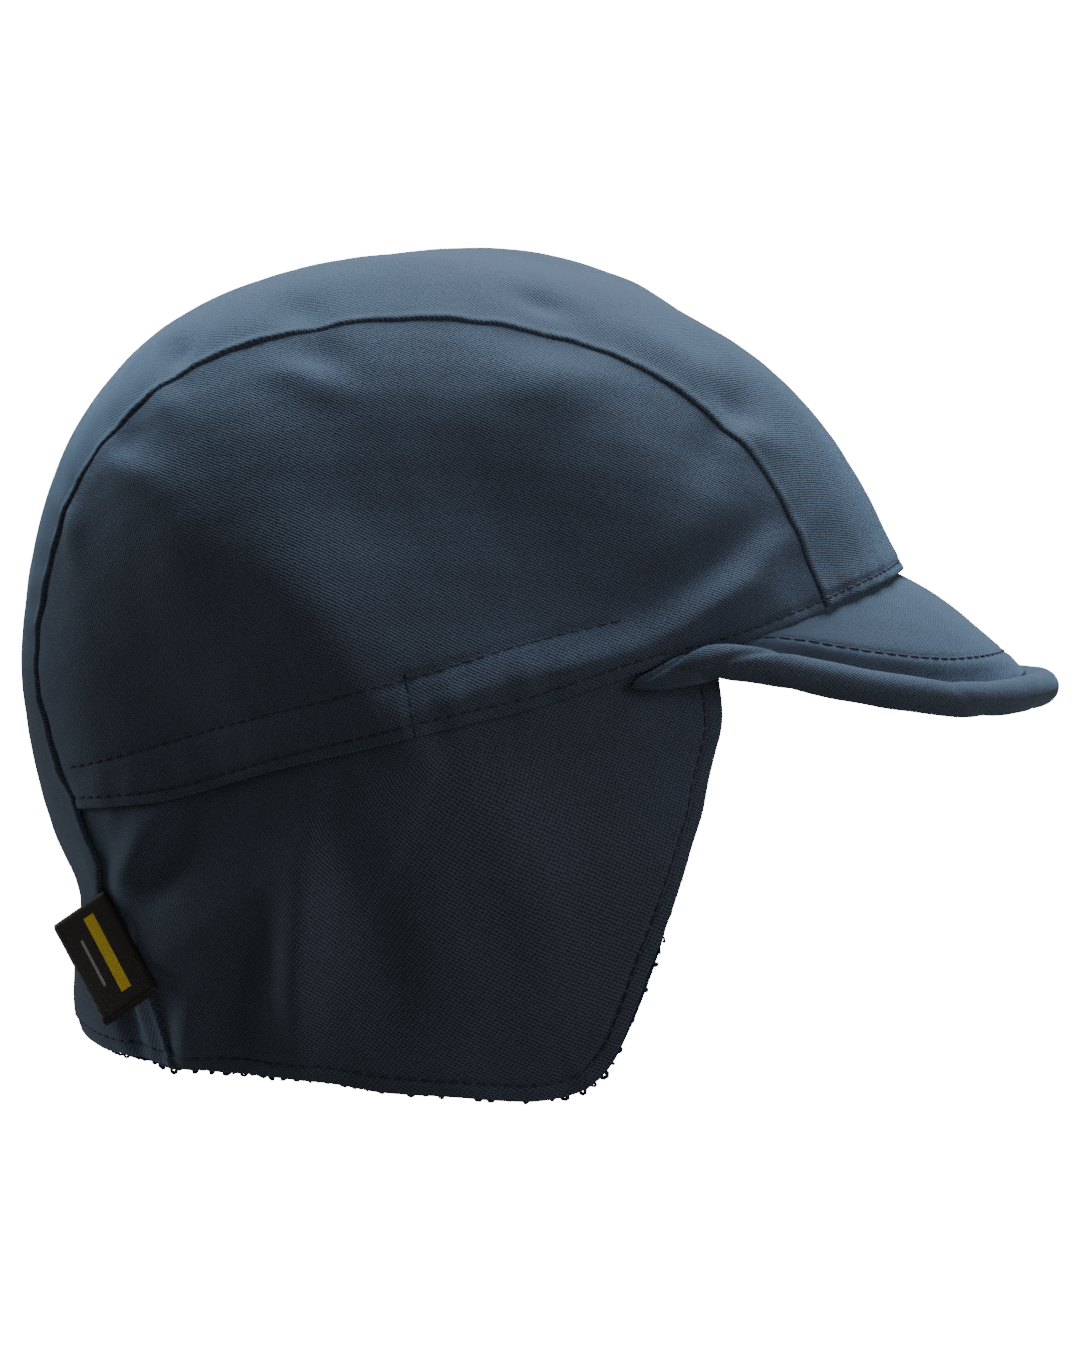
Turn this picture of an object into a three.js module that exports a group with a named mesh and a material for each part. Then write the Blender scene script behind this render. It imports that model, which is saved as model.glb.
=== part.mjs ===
// A lined winter work cap in navy canvas: a three-panel crown, a short soft peak with a
// rolled edge, and ear flaps that run round to the nape and are lined with pile.
// Millimetres. +X is the way the wearer looks, +Y the wearer's left, +Z up. The origin is the
// middle of the head at the height of the ears, where the cap sits.

import * as THREE from "three";

const LEFT = 1;
const RIGHT = -1;
const DEGREE = Math.PI / 180;

// The cap's form. Seen from the side its outline is a polar curve round the ears, and every
// half plane through the ears cuts it in a quarter of a superellipse.
const HALF_WIDTH = 86;
const SECTION_POWER = 2.2;
const OUTLINE = [
  { angle: 20, radius: 117.4 },
  { angle: 32, radius: 117.6 },
  { angle: 45, radius: 118.5 },
  { angle: 60, radius: 117.2 },
  { angle: 74, radius: 116.4 },
  { angle: 88, radius: 116.8 },
  { angle: 108, radius: 120 },
  { angle: 126, radius: 122.5 },
  { angle: 140, radius: 120.4 },
  { angle: 152, radius: 115.5 },
  { angle: 158, radius: 112.9 },
  { angle: 165, radius: 110.6 },
  { angle: 172, radius: 108.8 },
  { angle: 180, radius: 106.1 },
  { angle: 194, radius: 103.1 },
  { angle: 204, radius: 102.3 },
  { angle: 211, radius: 110.4 },
  { angle: 216, radius: 117.4 },
  { angle: 219, radius: 119.6 },
  { angle: 232, radius: 128.5 },
  { angle: 250, radius: 139 },
  { angle: 272, radius: 147 },
  { angle: 300, radius: 150 },
  { angle: 325, radius: 142 },
  { angle: 350, radius: 125 },
];

// Layers, counted inwards from the form, and the gaps between pieces.
const CLOTH = 1.6;
const PILE = 3;
const LAYER_GAP = 0.4;
const SEAM_GAP = 0.3;
// The cloth that is topstitched over its neighbour stands proud of it.
const STRIP_LIFT = 0.7;
const FLAP_LIFT = -0.7;

// The strip that runs from the peak over the crown to the nape.
const PEAK_SEAM_ANGLE = 19.3;
const BAND_END_ANGLE = 190.7;
const NAPE_HEM_ANGLE = 219.1;
const HEM_CORNER_ANGLE = 230;
const STRIP = [
  { angle: 19, halfWidth: 54 },
  { angle: 49, halfWidth: 50 },
  { angle: 78, halfWidth: 47.5 },
  { angle: 105, halfWidth: 47 },
  { angle: 125, halfWidth: 42.5 },
  { angle: 146, halfWidth: 36 },
  { angle: 158, halfWidth: 32 },
  { angle: 170, halfWidth: 31 },
  { angle: 182, halfWidth: 36 },
  { angle: 192, halfWidth: 41 },
  { angle: 204, halfWidth: 42.5 },
  { angle: 210, halfWidth: 48.5 },
  { angle: 217, halfWidth: 55 },
  { angle: 223, halfWidth: 56 },
  { angle: 229, halfWidth: 54 },
];

// The seam between crown and flap, seen from the side, behind the end of the peak.
const BAND = [
  { x: 66, z: 23.1 },
  { x: 49, z: 19.2 },
  { x: 35, z: 14.8 },
  { x: 19, z: 9.6 },
  { x: -1, z: 5 },
  { x: -25, z: -1.1 },
  { x: -42, z: -5.5 },
  { x: -59, z: -11 },
  { x: -71, z: -14.6 },
];

// The flap's free edge, seen from the side: down its front, round the corner, along the hem.
const FLAP_CORNER_ANGLE = -66;
const FLAP_EDGE = [
  { angle: -127, radius: 100.8 },
  { angle: -114.7, radius: 89.5 },
  { angle: -102, radius: 86.4 },
  { angle: -89, radius: 85.7 },
  { angle: -77, radius: 89 },
  { angle: -70, radius: 90.1 },
  { angle: -64, radius: 86.7 },
  { angle: -58, radius: 80.5 },
  { angle: -51, radius: 74.2 },
  { angle: -45, radius: 70.4 },
  { angle: -36, radius: 66.5 },
  { angle: -26, radius: 64 },
  { angle: -16, radius: 63.4 },
  { angle: -8, radius: 63.2 },
  { angle: 4, radius: 65.4 },
];

// The peak: its end on the seam, the plan of its rolled edge, and that edge's height and size.
// The roll is flat where it tucks in against the flap: its fullness is its depth over its height.
const PEAK_REACH_Y = 73;
const PEAK_CLOTH = 2.6;
const PEAK_CROWN = 1.3;
const PEAK_PILE = 2;
const RIM_START_X = 43;
const RIM_FRONT_X = 146.5;
const RIM_HALF_WIDTH = 82.4;
const RIM_PEAK_ANGLE = 12;
const RIM = [
  { x: 43, z: 14.1, radius: 0.9, fullness: 0.7 },
  { x: 46, z: 14.9, radius: 1.9, fullness: 0.55 },
  { x: 50, z: 15.8, radius: 2.9, fullness: 0.55 },
  { x: 57, z: 18.5, radius: 4.2, fullness: 0.7 },
  { x: 63, z: 19.6, radius: 4.5, fullness: 0.85 },
  { x: 70, z: 19.3, radius: 4.4, fullness: 0.95 },
  { x: 79, z: 17.7, radius: 4.3, fullness: 1 },
  { x: 93, z: 14.5, radius: 4.3, fullness: 1 },
  { x: 108, z: 11.6, radius: 4.3, fullness: 1 },
  { x: 122, z: 9.4, radius: 4.3, fullness: 1 },
  { x: 134, z: 9.1, radius: 4.3, fullness: 1 },
  { x: 146.5, z: 9.9, radius: 4.3, fullness: 1 },
];

// The folded tape label, sewn into the seam at the nape on the right.
const LABEL_LENGTH = 30.5;
const LABEL_WIDTH = 15.8;
const LABEL_TAPE = 0.8;
const LABEL_SLIT = 0.7;
const LABEL_TOP = { angle: 204.5, pastSeam: 2.4 };
const LABEL_FOOT = { angle: 221, pastSeam: 4.6 };
const LABEL_STAND_OFF = 2.8;
const LABEL_WAY = new THREE.Vector3(-0.86, 0.16, -0.48);

// Folds and dents. x and z say where one lies seen from the side, turn which way it runs there
// (0 forwards, 90 up), length and width how far it spreads, and height is below 0 for a dent.
const FOLDS = [
  // the far half of the strip stands up in a long hump
  { side: LEFT, x: 18, z: 111.4, turn: -9, length: 38, width: 13, height: 6.4 },
  { side: LEFT, x: 46, z: 103, turn: -40, length: 11, width: 9, height: 2 },
  // right temple
  { side: RIGHT, x: 61.5, z: 43, turn: 31, length: 22, width: 5.4, height: -2.9 },
  { side: RIGHT, x: 61, z: 32, turn: 33, length: 24, width: 6, height: 4.8 },
  { side: RIGHT, x: 75, z: 47.5, turn: 29, length: 9, width: 4.2, height: 1.1 },
  { side: RIGHT, x: 83.5, z: 44.5, turn: 32, length: 13, width: 4.4, height: -1.9 },
  // puckers across the right seam of the strip, from the back to the front
  { side: RIGHT, x: -93, z: 52.5, turn: -48, length: 11, width: 5.2, height: 2.5 },
  { side: RIGHT, x: -79, z: 73, turn: -41, length: 9.5, width: 4.4, height: -1.6 },
  { side: RIGHT, x: -76, z: 64, turn: -31, length: 12.5, width: 5.2, height: 1.4 },
  { side: RIGHT, x: -67, z: 91.5, turn: -58, length: 10.5, width: 4, height: -2.5 },
  { side: RIGHT, x: -69, z: 81.5, turn: -48, length: 10.5, width: 4.6, height: 0.9 },
  { side: RIGHT, x: -35, z: 99, turn: -69, length: 15, width: 5.6, height: -2.8 },
  { side: RIGHT, x: -33.5, z: 87, turn: -34, length: 13, width: 5.2, height: 1.5 },
  { side: RIGHT, x: 20.5, z: 98, turn: -13, length: 14, width: 6, height: -2.1 },
  { side: RIGHT, x: 22, z: 105, turn: -54, length: 8, width: 5.2, height: -2 },
  { side: RIGHT, x: 24.5, z: 85.5, turn: 22, length: 14, width: 9, height: 2.2 },
  { side: RIGHT, x: 51.5, z: 91.5, turn: -15, length: 16.5, width: 13.5, height: 1.8 },
  { side: RIGHT, x: 68.5, z: 79.5, turn: 56, length: 11, width: 6.5, height: -3.4 },
  { side: RIGHT, x: 72, z: 71.5, turn: 27, length: 9, width: 4.8, height: 1.8 },
  { side: RIGHT, x: 63, z: 72, turn: 57, length: 13.5, width: 6, height: -2.2 },
  // the back of the right panel hangs in from a slanting ridge
  { side: RIGHT, x: -33, z: 29.5, turn: -39, length: 45, width: 13.5, height: 3.1 },
  { side: RIGHT, x: -16.5, z: 8.5, turn: -49, length: 15.5, width: 6, height: 1.8 },
  { side: RIGHT, x: -65, z: -1, turn: -50, length: 41, width: 23.5, height: -7.1 },
  // hollows in the right panel
  { side: RIGHT, x: -53.5, z: 51, turn: -65, length: 14.5, width: 9.5, height: -1.2 },
  { side: RIGHT, x: -52, z: 37.5, turn: -46, length: 17, width: 9, height: -1.6 },
  { side: RIGHT, x: -16, z: 53, turn: -37, length: 22, width: 11.5, height: -2.2 },
  { side: RIGHT, x: 14, z: 54.5, turn: -33, length: 38, width: 19.5, height: -4.8 },
  { side: RIGHT, x: 12, z: 32, turn: -5, length: 25, width: 13, height: -2.2 },
  // elastic tunnel, puffed up ahead of its bar
  { side: RIGHT, x: 4.5, z: 12, turn: 19, length: 10, width: 4, height: 1.2 },
  { side: RIGHT, x: 32.5, z: 20, turn: 19, length: 18.5, width: 4.4, height: 2 },
  { side: RIGHT, x: 17.5, z: 18.5, turn: 5, length: 16.5, width: 6, height: 1.3 },
  { side: RIGHT, x: -3.5, z: 6.5, turn: 17, length: 16, width: 4.8, height: 0.8 },
  // right flap
  { side: RIGHT, x: -77.5, z: -30.5, turn: 43, length: 14, width: 5.4, height: 4.4 },
  { side: RIGHT, x: -69.5, z: -28.5, turn: 50, length: 12.5, width: 4.8, height: -1.8 },
  { side: RIGHT, x: -85, z: -37.5, turn: -39, length: 9.5, width: 4, height: 2.2 },
  { side: RIGHT, x: -36.5, z: -50, turn: -95, length: 31, width: 6, height: 4.6 },
  { side: RIGHT, x: -18.5, z: -46.5, turn: -78, length: 29, width: 9.5, height: -3.1 },
  { side: RIGHT, x: 20, z: -31.5, turn: -80, length: 25, width: 9, height: 1.7 },
  { side: RIGHT, x: -63, z: -71, turn: 63, length: 11.5, width: 5.2, height: 3.7 },
  { side: RIGHT, x: -48.5, z: -61.5, turn: 73, length: 15.5, width: 5, height: -3.6 },
  { side: RIGHT, x: 40.5, z: 3, turn: 44, length: 10, width: 4, height: 0.9 },
  { side: RIGHT, x: -32, z: -23, turn: -87, length: 16.5, width: 7.5, height: -1.3 },
  { side: RIGHT, x: 8, z: -16.5, turn: -75, length: 16, width: 8.5, height: 1 },
  { side: RIGHT, x: -48, z: -69.5, turn: 23, length: 10.5, width: 6.5, height: -1.2 },
  { side: RIGHT, x: -7, z: -77, turn: 7, length: 15.5, width: 8.5, height: 1.2 },
  // gather in the strip's hem beside the seam
  { side: RIGHT, x: -80, z: -66, turn: 100, length: 14, width: 3.5, height: -3.2 },
  { side: LEFT, x: -81, z: -66, turn: 100, length: 12, width: 4, height: -2.4 },
  // left temple, seam and flap
  { side: LEFT, x: 62, z: 44, turn: 30, length: 20, width: 6, height: -2.2 },
  { side: LEFT, x: 63, z: 34, turn: 28, length: 22, width: 5.5, height: 2.6 },
  { side: LEFT, x: -76, z: 76, turn: -42, length: 10, width: 4.5, height: -1.7 },
  { side: LEFT, x: -48, z: 92, turn: -52, length: 10, width: 5, height: 1.9 },
  { side: LEFT, x: -20, z: 99, turn: -60, length: 10, width: 5, height: -2.2 },
  { side: LEFT, x: 50, z: 90, turn: 40, length: 11, width: 5, height: -1.9 },
  { side: LEFT, x: 16, z: 16, turn: 20, length: 16, width: 4, height: 0.9 },
  { side: LEFT, x: -74, z: -28, turn: 52, length: 12, width: 4.5, height: 2.2 },
  { side: LEFT, x: -8, z: -42, turn: -80, length: 25, width: 10, height: 2.4 },
  { side: LEFT, x: -30, z: -50, turn: -74, length: 24, width: 9, height: -1.9 },
  { side: LEFT, x: -44, z: 28, turn: -40, length: 30, width: 11, height: 2 },
];

// The seams beside the strip take this share off the folds they cross.
const SEAM_HOLD = { share: 0.7, width: 6, lastAngle: 185 };

// Cells along and across each piece's wall.
const STRIP_CELLS = [50, 10];
const NAPE_CELLS = [7, 10];
const SIDE_CELLS = [26, 12];
const FLAP_CELLS = [22, 10];
const PEAK_CELLS = [30, 5];
const PEAK_LINING_CELLS = [30, 3];
const RIM_CELLS = [44, 10];

// A smooth curve through a table's rows, as a function of its key column. With a period,
// the table closes on itself.
function smooth(rows, key, value, period = 0) {
  const count = rows.length;
  const row = (i) => rows[period ? ((i % count) + count) % count : Math.min(Math.max(i, 0), count - 1)];
  const keyAt = (i) => row(i)[key] + (period ? Math.floor(i / count) * period : 0);
  const slope = (i) => (row(i + 1)[value] - row(i - 1)[value]) / (keyAt(i + 1) - keyAt(i - 1));
  return (x) => {
    const start = rows[0][key];
    const place = period ? x - Math.floor((x - start) / period) * period : x;
    let i = 0;
    while (i < count - (period ? 1 : 2) && place >= rows[i + 1][key]) i += 1;
    const span = keyAt(i + 1) - keyAt(i);
    const t = (place - keyAt(i)) / span;
    const held = row(i)[value] * (2 * t ** 3 - 3 * t ** 2 + 1);
    const reached = row(i + 1)[value] * (3 * t ** 2 - 2 * t ** 3);
    return held + reached + span * (slope(i) * (t ** 3 - 2 * t ** 2 + t) + slope(i + 1) * (t ** 3 - t ** 2));
  };
}

const outlineRadius = smooth(OUTLINE, "angle", "radius", 360);
const stripHalfWidth = smooth(STRIP, "angle", "halfWidth");
const rimHeight = smooth(RIM, "x", "z");
const rimRadius = smooth(RIM, "x", "radius");
const rimFullness = smooth(RIM, "x", "fullness");
const mix = THREE.MathUtils.lerp;

// How far out a superellipse of half size 1 is when its other coordinate is at `share`.
const superellipse = (share, power) => Math.max(0, 1 - Math.abs(share) ** power) ** (1 / power);

const polar = (angle, radius) =>
  new THREE.Vector2(radius * Math.cos(angle * DEGREE), radius * Math.sin(angle * DEGREE));
const angleOf = (x, z) => Math.atan2(z, x) / DEGREE;

// The form's point at a side-view place, on one side.
function formPoint(x, z, side) {
  const share = Math.hypot(x, z) / outlineRadius(angleOf(x, z));
  return new THREE.Vector3(x, side * HALF_WIDTH * superellipse(share, SECTION_POWER), z);
}

// The form's point at an angle round the ears and a distance from the middle plane.
function ringPoint(angle, y) {
  const place = polar(angle, outlineRadius(angle) * superellipse(y / HALF_WIDTH, SECTION_POWER));
  return new THREE.Vector3(place.x, y, place.y);
}

function formNormal(point) {
  const reach = (x, y, z) =>
    (Math.hypot(x, z) / outlineRadius(angleOf(x, z))) ** SECTION_POWER +
    (Math.abs(y) / HALF_WIDTH) ** SECTION_POWER;
  const step = 0.01;
  const { x, y, z } = point;
  return new THREE.Vector3(
    reach(x + step, y, z) - reach(x - step, y, z),
    reach(x, y + step, z) - reach(x, y - step, z),
    reach(x, y, z + step) - reach(x, y, z - step),
  ).normalize();
}

const foldFrames = FOLDS.map((fold) => {
  const centre = formPoint(fold.x, fold.z, fold.side);
  const normal = formNormal(centre);
  const along = new THREE.Vector3(Math.cos(fold.turn * DEGREE), 0, Math.sin(fold.turn * DEGREE));
  along.addScaledVector(normal, -along.dot(normal)).normalize();
  const across = new THREE.Vector3().crossVectors(normal, along);
  return { ...fold, centre, along, across, normal };
});

// How firmly the strip's seam holds the cloth flat at a point, on the crown only.
function seamHold(point) {
  const angle = (angleOf(point.x, point.z) + 360) % 360;
  const seamAngle = THREE.MathUtils.clamp(angle, STRIP[0].angle, STRIP[STRIP.length - 1].angle);
  const fromSeam = Math.abs(point.y) - stripHalfWidth(seamAngle);
  const onCrown = 1 / (1 + Math.exp((angle - SEAM_HOLD.lastAngle) / 4));
  return SEAM_HOLD.share * onCrown * Math.exp(-((fromSeam / SEAM_HOLD.width) ** 2));
}

// How far the folds push the cloth out at a point of the form.
function foldHeight(point) {
  const free = 1 - seamHold(point);
  return foldFrames.reduce((total, fold) => {
    const way = point.clone().sub(fold.centre);
    const spread = (way.dot(fold.along) / fold.length) ** 2 + (way.dot(fold.across) / fold.width) ** 2;
    const depth = (way.dot(fold.normal) / fold.length) ** 2;
    return total + free * fold.height * Math.exp(-spread - depth);
  }, 0);
}

// A point of the cloth: the form's point moved out by its folds and by `lift`.
const clothPoint = (point, lift) =>
  point.clone().addScaledVector(formNormal(point), foldHeight(point) + lift);

// Patches of the form are laid out on a disc, where the ears are the centre and the side
// view's outline is the rim, so that their cells keep an even size on the curved form.
function toDisc(place) {
  const angle = angleOf(place.x, place.y);
  const share = Math.min(1, place.length() / outlineRadius(angle));
  return polar(angle, Math.asin(share) / (Math.PI / 2));
}

function fromDisc(spot, side) {
  const angle = angleOf(spot.x, spot.y);
  const place = polar(angle, outlineRadius(angle) * Math.sin((Math.PI / 2) * Math.min(1, spot.length())));
  return formPoint(place.x, place.y, side);
}

// A four-sided patch, as a function of u and v from 0 to 1. It runs straight from the bottom
// curve to the top one, and adds what the curves at its sides bulge from their own chords.
function patchBetween(bottom, top, left, right) {
  const bulge = (edge, v) => edge(v).sub(edge(0).lerp(edge(1), v));
  return (u, v) =>
    bottom(u)
      .lerp(top(u), v)
      .addScaledVector(bulge(left, v), 1 - u)
      .addScaledVector(bulge(right, v), u);
}

// Side-view place of the strip's seam, moved away from the strip by `clear`.
function seamPlace(angle, clear) {
  const point = ringPoint(angle, stripHalfWidth(angle) + clear);
  return new THREE.Vector2(point.x, point.z);
}

const frontCorner = seamPlace(PEAK_SEAM_ANGLE, SEAM_GAP / 2);
const backCorner = seamPlace(BAND_END_ANGLE, SEAM_GAP / 2);
const bandRows = [{ x: frontCorner.x, z: frontCorner.y }, ...BAND, { x: backCorner.x, z: backCorner.y }];
const bandHeight = smooth(bandRows.slice().reverse(), "x", "z");
// A place on the band seam: 0 is its back end and 1 its front end, on the strip's seam.
function bandPlace(share, clear) {
  const x = mix(backCorner.x, frontCorner.x, share);
  return new THREE.Vector2(x, bandHeight(x) + clear);
}

// The flap hangs from the back cells of the panel above it, so their edges match.
const flapShare = FLAP_CELLS[0] / SIDE_CELLS[0];
const flapBack = seamPlace(HEM_CORNER_ANGLE, SEAM_GAP / 2);
const flapFront = bandPlace(flapShare, -SEAM_GAP / 2);
const polarRow = (place) => ({ angle: angleOf(place.x, place.y), radius: place.length() });
const flapEdgeRows = [polarRow(flapBack), ...FLAP_EDGE, polarRow(flapFront)];
const flapEdgeRadius = smooth(flapEdgeRows, "angle", "radius");
const flapEdgePlace = (angle) => polar(angle, flapEdgeRadius(angle));

// One panel's side-view patch. u runs from the back forwards and v from the bottom up.
function sidePanelPatch() {
  const clear = SEAM_GAP / 2;
  const [shoulderBack, shoulderFront] = [150, 52];
  const arch = (from, to) => (t) => toDisc(seamPlace(mix(from, to, t), clear));
  return patchBetween(
    (u) => toDisc(bandPlace(u, clear)),
    arch(shoulderBack, shoulderFront),
    arch(BAND_END_ANGLE, shoulderBack),
    arch(PEAK_SEAM_ANGLE, shoulderFront),
  );
}

function flapPatch() {
  const clear = SEAM_GAP / 2;
  const edge = (from, to) => (t) => toDisc(flapEdgePlace(mix(from, to, t)));
  return patchBetween(
    edge(flapEdgeRows[0].angle, FLAP_CORNER_ANGLE),
    (u) => toDisc(bandPlace(flapShare * u, -clear)),
    (v) => toDisc(seamPlace(mix(HEM_CORNER_ANGLE, BAND_END_ANGLE, v), clear)),
    edge(FLAP_CORNER_ANGLE, flapEdgeRows.at(-1).angle),
  );
}

// The strip: u runs from the front over the crown to the hem and v from right to left.
// Its hem follows the nape, lower at the seams than in the middle. `clear` keeps its edges
// off the seams.
function stripPoint(u, v, clear) {
  const across = 2 * v - 1;
  const hemAngle = mix(NAPE_HEM_ANGLE, HEM_CORNER_ANGLE, Math.abs(across) ** 2.2);
  const angle = mix(PEAK_SEAM_ANGLE, hemAngle, u);
  return ringPoint(angle, across * (stripHalfWidth(angle) - clear));
}

// A closed wall between two sheets that are functions of u and v.
function wallGeometry([columns, rows], outer, inner) {
  const positions = [];
  for (const sheet of [outer, inner])
    for (let i = 0; i <= columns; i += 1)
      for (let j = 0; j <= rows; j += 1) positions.push(...sheet(i / columns, j / rows).toArray());
  const index = [];
  const sheetSize = (columns + 1) * (rows + 1);
  const at = (layer, i, j) => layer * sheetSize + i * (rows + 1) + j;
  const quad = (a, b, c, d) => index.push(a, b, c, a, c, d);
  for (let i = 0; i < columns; i += 1)
    for (let j = 0; j < rows; j += 1) {
      quad(at(0, i, j), at(0, i + 1, j), at(0, i + 1, j + 1), at(0, i, j + 1));
      quad(at(1, i, j), at(1, i, j + 1), at(1, i + 1, j + 1), at(1, i + 1, j));
    }
  for (let i = 0; i < columns; i += 1) {
    quad(at(0, i, 0), at(1, i, 0), at(1, i + 1, 0), at(0, i + 1, 0));
    quad(at(0, i, rows), at(0, i + 1, rows), at(1, i + 1, rows), at(1, i, rows));
  }
  for (let j = 0; j < rows; j += 1) {
    quad(at(0, 0, j), at(0, 0, j + 1), at(1, 0, j + 1), at(1, 0, j));
    quad(at(0, columns, j), at(1, columns, j), at(1, columns, j + 1), at(0, columns, j + 1));
  }
  return solidGeometry(positions, index);
}

// A closed body from its points and triangles, turned so that its faces point out.
function solidGeometry(positions, index) {
  const corner = (i) => new THREE.Vector3().fromArray(positions, 3 * index[i]);
  let volume = 0;
  for (let i = 0; i < index.length; i += 3) volume += corner(i).dot(corner(i + 1).cross(corner(i + 2)));
  if (volume < 0) index.reverse();
  const geometry = new THREE.BufferGeometry();
  geometry.setAttribute("position", new THREE.Float32BufferAttribute(positions, 3));
  geometry.setIndex(index);
  geometry.computeVertexNormals();
  return geometry;
}

// A wall of cloth or pile that lies on the form between two depths below it.
const layerGeometry = (cells, point, top, depth) =>
  wallGeometry(
    cells,
    (u, v) => clothPoint(point(u, v), -top),
    (u, v) => clothPoint(point(u, v), -top - depth),
  );

function sideGeometry(cells, patch, side, top, depth) {
  return layerGeometry(cells, (u, v) => fromDisc(patch(u, v), side), top, depth);
}

// The centre line of the rolled edge. `turn` is 0 at the right end, 90 at the front, 180 at the left.
function rimCentre(turn) {
  const x = mix(RIM_START_X, RIM_FRONT_X, Math.sin(turn * DEGREE));
  return new THREE.Vector3(x, RIGHT * RIM_HALF_WIDTH * Math.cos(turn * DEGREE), rimHeight(x));
}

function rimGeometry() {
  const [steps, sides] = RIM_CELLS;
  const positions = [];
  const index = [];
  for (let i = 0; i <= steps; i += 1) {
    const turn = (180 * i) / steps;
    const centre = rimCentre(turn);
    const ahead = rimCentre(Math.min(180, turn + 1)).sub(rimCentre(Math.max(0, turn - 1)));
    const out = new THREE.Vector3().crossVectors(ahead, new THREE.Vector3(0, 0, 1)).normalize();
    const up = new THREE.Vector3().crossVectors(out, ahead).normalize();
    for (let j = 0; j < sides; j += 1) {
      const round = (2 * Math.PI * j) / sides;
      const radius = rimRadius(centre.x);
      const depth = radius * rimFullness(centre.x);
      const point = centre.clone().addScaledVector(out, depth * Math.cos(round));
      positions.push(...point.addScaledVector(up, radius * Math.sin(round)).toArray());
      if (i === steps) continue;
      const [a, b] = [i * sides + j, i * sides + ((j + 1) % sides)];
      index.push(a, b, b + sides, a, b + sides, a + sides);
    }
  }
  const ends = positions.length / 3;
  positions.push(...rimCentre(0).toArray(), ...rimCentre(180).toArray());
  for (let j = 0; j < sides; j += 1) {
    const next = (j + 1) % sides;
    index.push(ends, next, j, ends + 1, steps * sides + j, steps * sides + next);
  }
  return solidGeometry(positions, index);
}

// The peak's cross-section at `u`, from its right end at 0 to its left end at 1: the seam on
// the crown, the rolled edge, and the way up and out from the sheet between them.
function peakSection(u) {
  const spread = 70;
  const y = (PEAK_REACH_Y * Math.sin((2 * u - 1) * spread * DEGREE)) / Math.sin(spread * DEGREE);
  const onForm = ringPoint(PEAK_SEAM_ANGLE, y);
  const sill = onForm.clone().addScaledVector(formNormal(onForm), FLAP_LIFT);
  const seam = sill.add(new THREE.Vector3(0, 0, -SEAM_GAP - 0.5));
  const turn = mix(RIM_PEAK_ANGLE, 180 - RIM_PEAK_ANGLE, u);
  const rim = rimCentre(turn);
  const along = rimCentre(turn + 1).sub(rimCentre(turn - 1)).normalize();
  const outwards = rim.clone().sub(seam).normalize();
  const up = new THREE.Vector3().crossVectors(outwards, along);
  // The section crosses the roll on the skew near its ends, where the roll is wider along it.
  const radius = (rimRadius(rim.x) + SEAM_GAP) / up.length();
  return { seam, rim, radius, outwards, up: up.normalize() };
}

function peakTopGeometry() {
  const sheet = (depth) => (u, v) => {
    const { seam, rim, radius, outwards, up } = peakSection(u);
    const edge = rim.clone().addScaledVector(outwards, -radius).addScaledVector(up, PEAK_CLOTH / 2);
    const rise = PEAK_CROWN * Math.sin(Math.PI * v ** 0.7) - depth;
    return seam.lerp(edge, v).addScaledVector(up, rise);
  };
  return wallGeometry(PEAK_CELLS, sheet(0), sheet(PEAK_CLOTH));
}

// The pile under the peak runs from the seam to the inner flank of the rolled edge.
function peakLiningGeometry() {
  const sheet = (depth) => (u, v) => {
    const { seam, rim, radius, outwards, up } = peakSection(u);
    const start = seam.addScaledVector(up, -PEAK_CLOTH - LAYER_GAP - depth);
    const flank = up.clone().addScaledVector(outwards, 0.9).normalize();
    const end = rim.clone().addScaledVector(flank, -radius - LAYER_GAP - depth);
    return start.lerp(end, v);
  };
  return wallGeometry(PEAK_LINING_CELLS, sheet(0), sheet(PEAK_PILE));
}

// A tape folded double: its two legs stand in the seam and its fold points backwards.
function addLabel(cap) {
  const half = LABEL_TAPE + LABEL_SLIT / 2;
  const straight = LABEL_WIDTH - half;
  const profile = new THREE.Shape();
  profile.moveTo(0, -half);
  profile.lineTo(straight, -half);
  profile.absarc(straight, 0, half, -Math.PI / 2, Math.PI / 2, false);
  profile.lineTo(0, half);
  profile.lineTo(0, LABEL_SLIT / 2);
  profile.lineTo(straight, LABEL_SLIT / 2);
  profile.absarc(straight, 0, LABEL_SLIT / 2, Math.PI / 2, -Math.PI / 2, true);
  profile.lineTo(0, -LABEL_SLIT / 2);
  const shape = { depth: LABEL_LENGTH, bevelEnabled: false, curveSegments: 6 };
  const geometry = new THREE.ExtrudeGeometry(profile, shape);
  const seamPoint = ({ angle, pastSeam }) => ringPoint(angle, RIGHT * (stripHalfWidth(angle) + pastSeam));
  const top = seamPoint(LABEL_TOP);
  const down = seamPoint(LABEL_FOOT).sub(top).normalize();
  const out = LABEL_WAY.clone().addScaledVector(down, -LABEL_WAY.dot(down)).normalize();
  const face = new THREE.Vector3().crossVectors(down, out);
  const label = makeMesh("woven_label", geometry, MATERIALS.label);
  label.matrix.makeBasis(out, face, down);
  label.quaternion.setFromRotationMatrix(label.matrix);
  label.position.copy(top).addScaledVector(formNormal(top), LABEL_STAND_OFF);
  cap.add(label);
}

const MATERIALS = {
  canvas: new THREE.MeshStandardMaterial({ color: 0x2d3f55, roughness: 0.9, metalness: 0 }),
  pile: new THREE.MeshStandardMaterial({ color: 0x1b2130, roughness: 1, metalness: 0 }),
  label: new THREE.MeshStandardMaterial({ color: 0x211f1e, roughness: 0.8, metalness: 0 }),
};

function makeMesh(name, geometry, material) {
  const mesh = new THREE.Mesh(geometry, material);
  mesh.name = name;
  return mesh;
}

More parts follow.
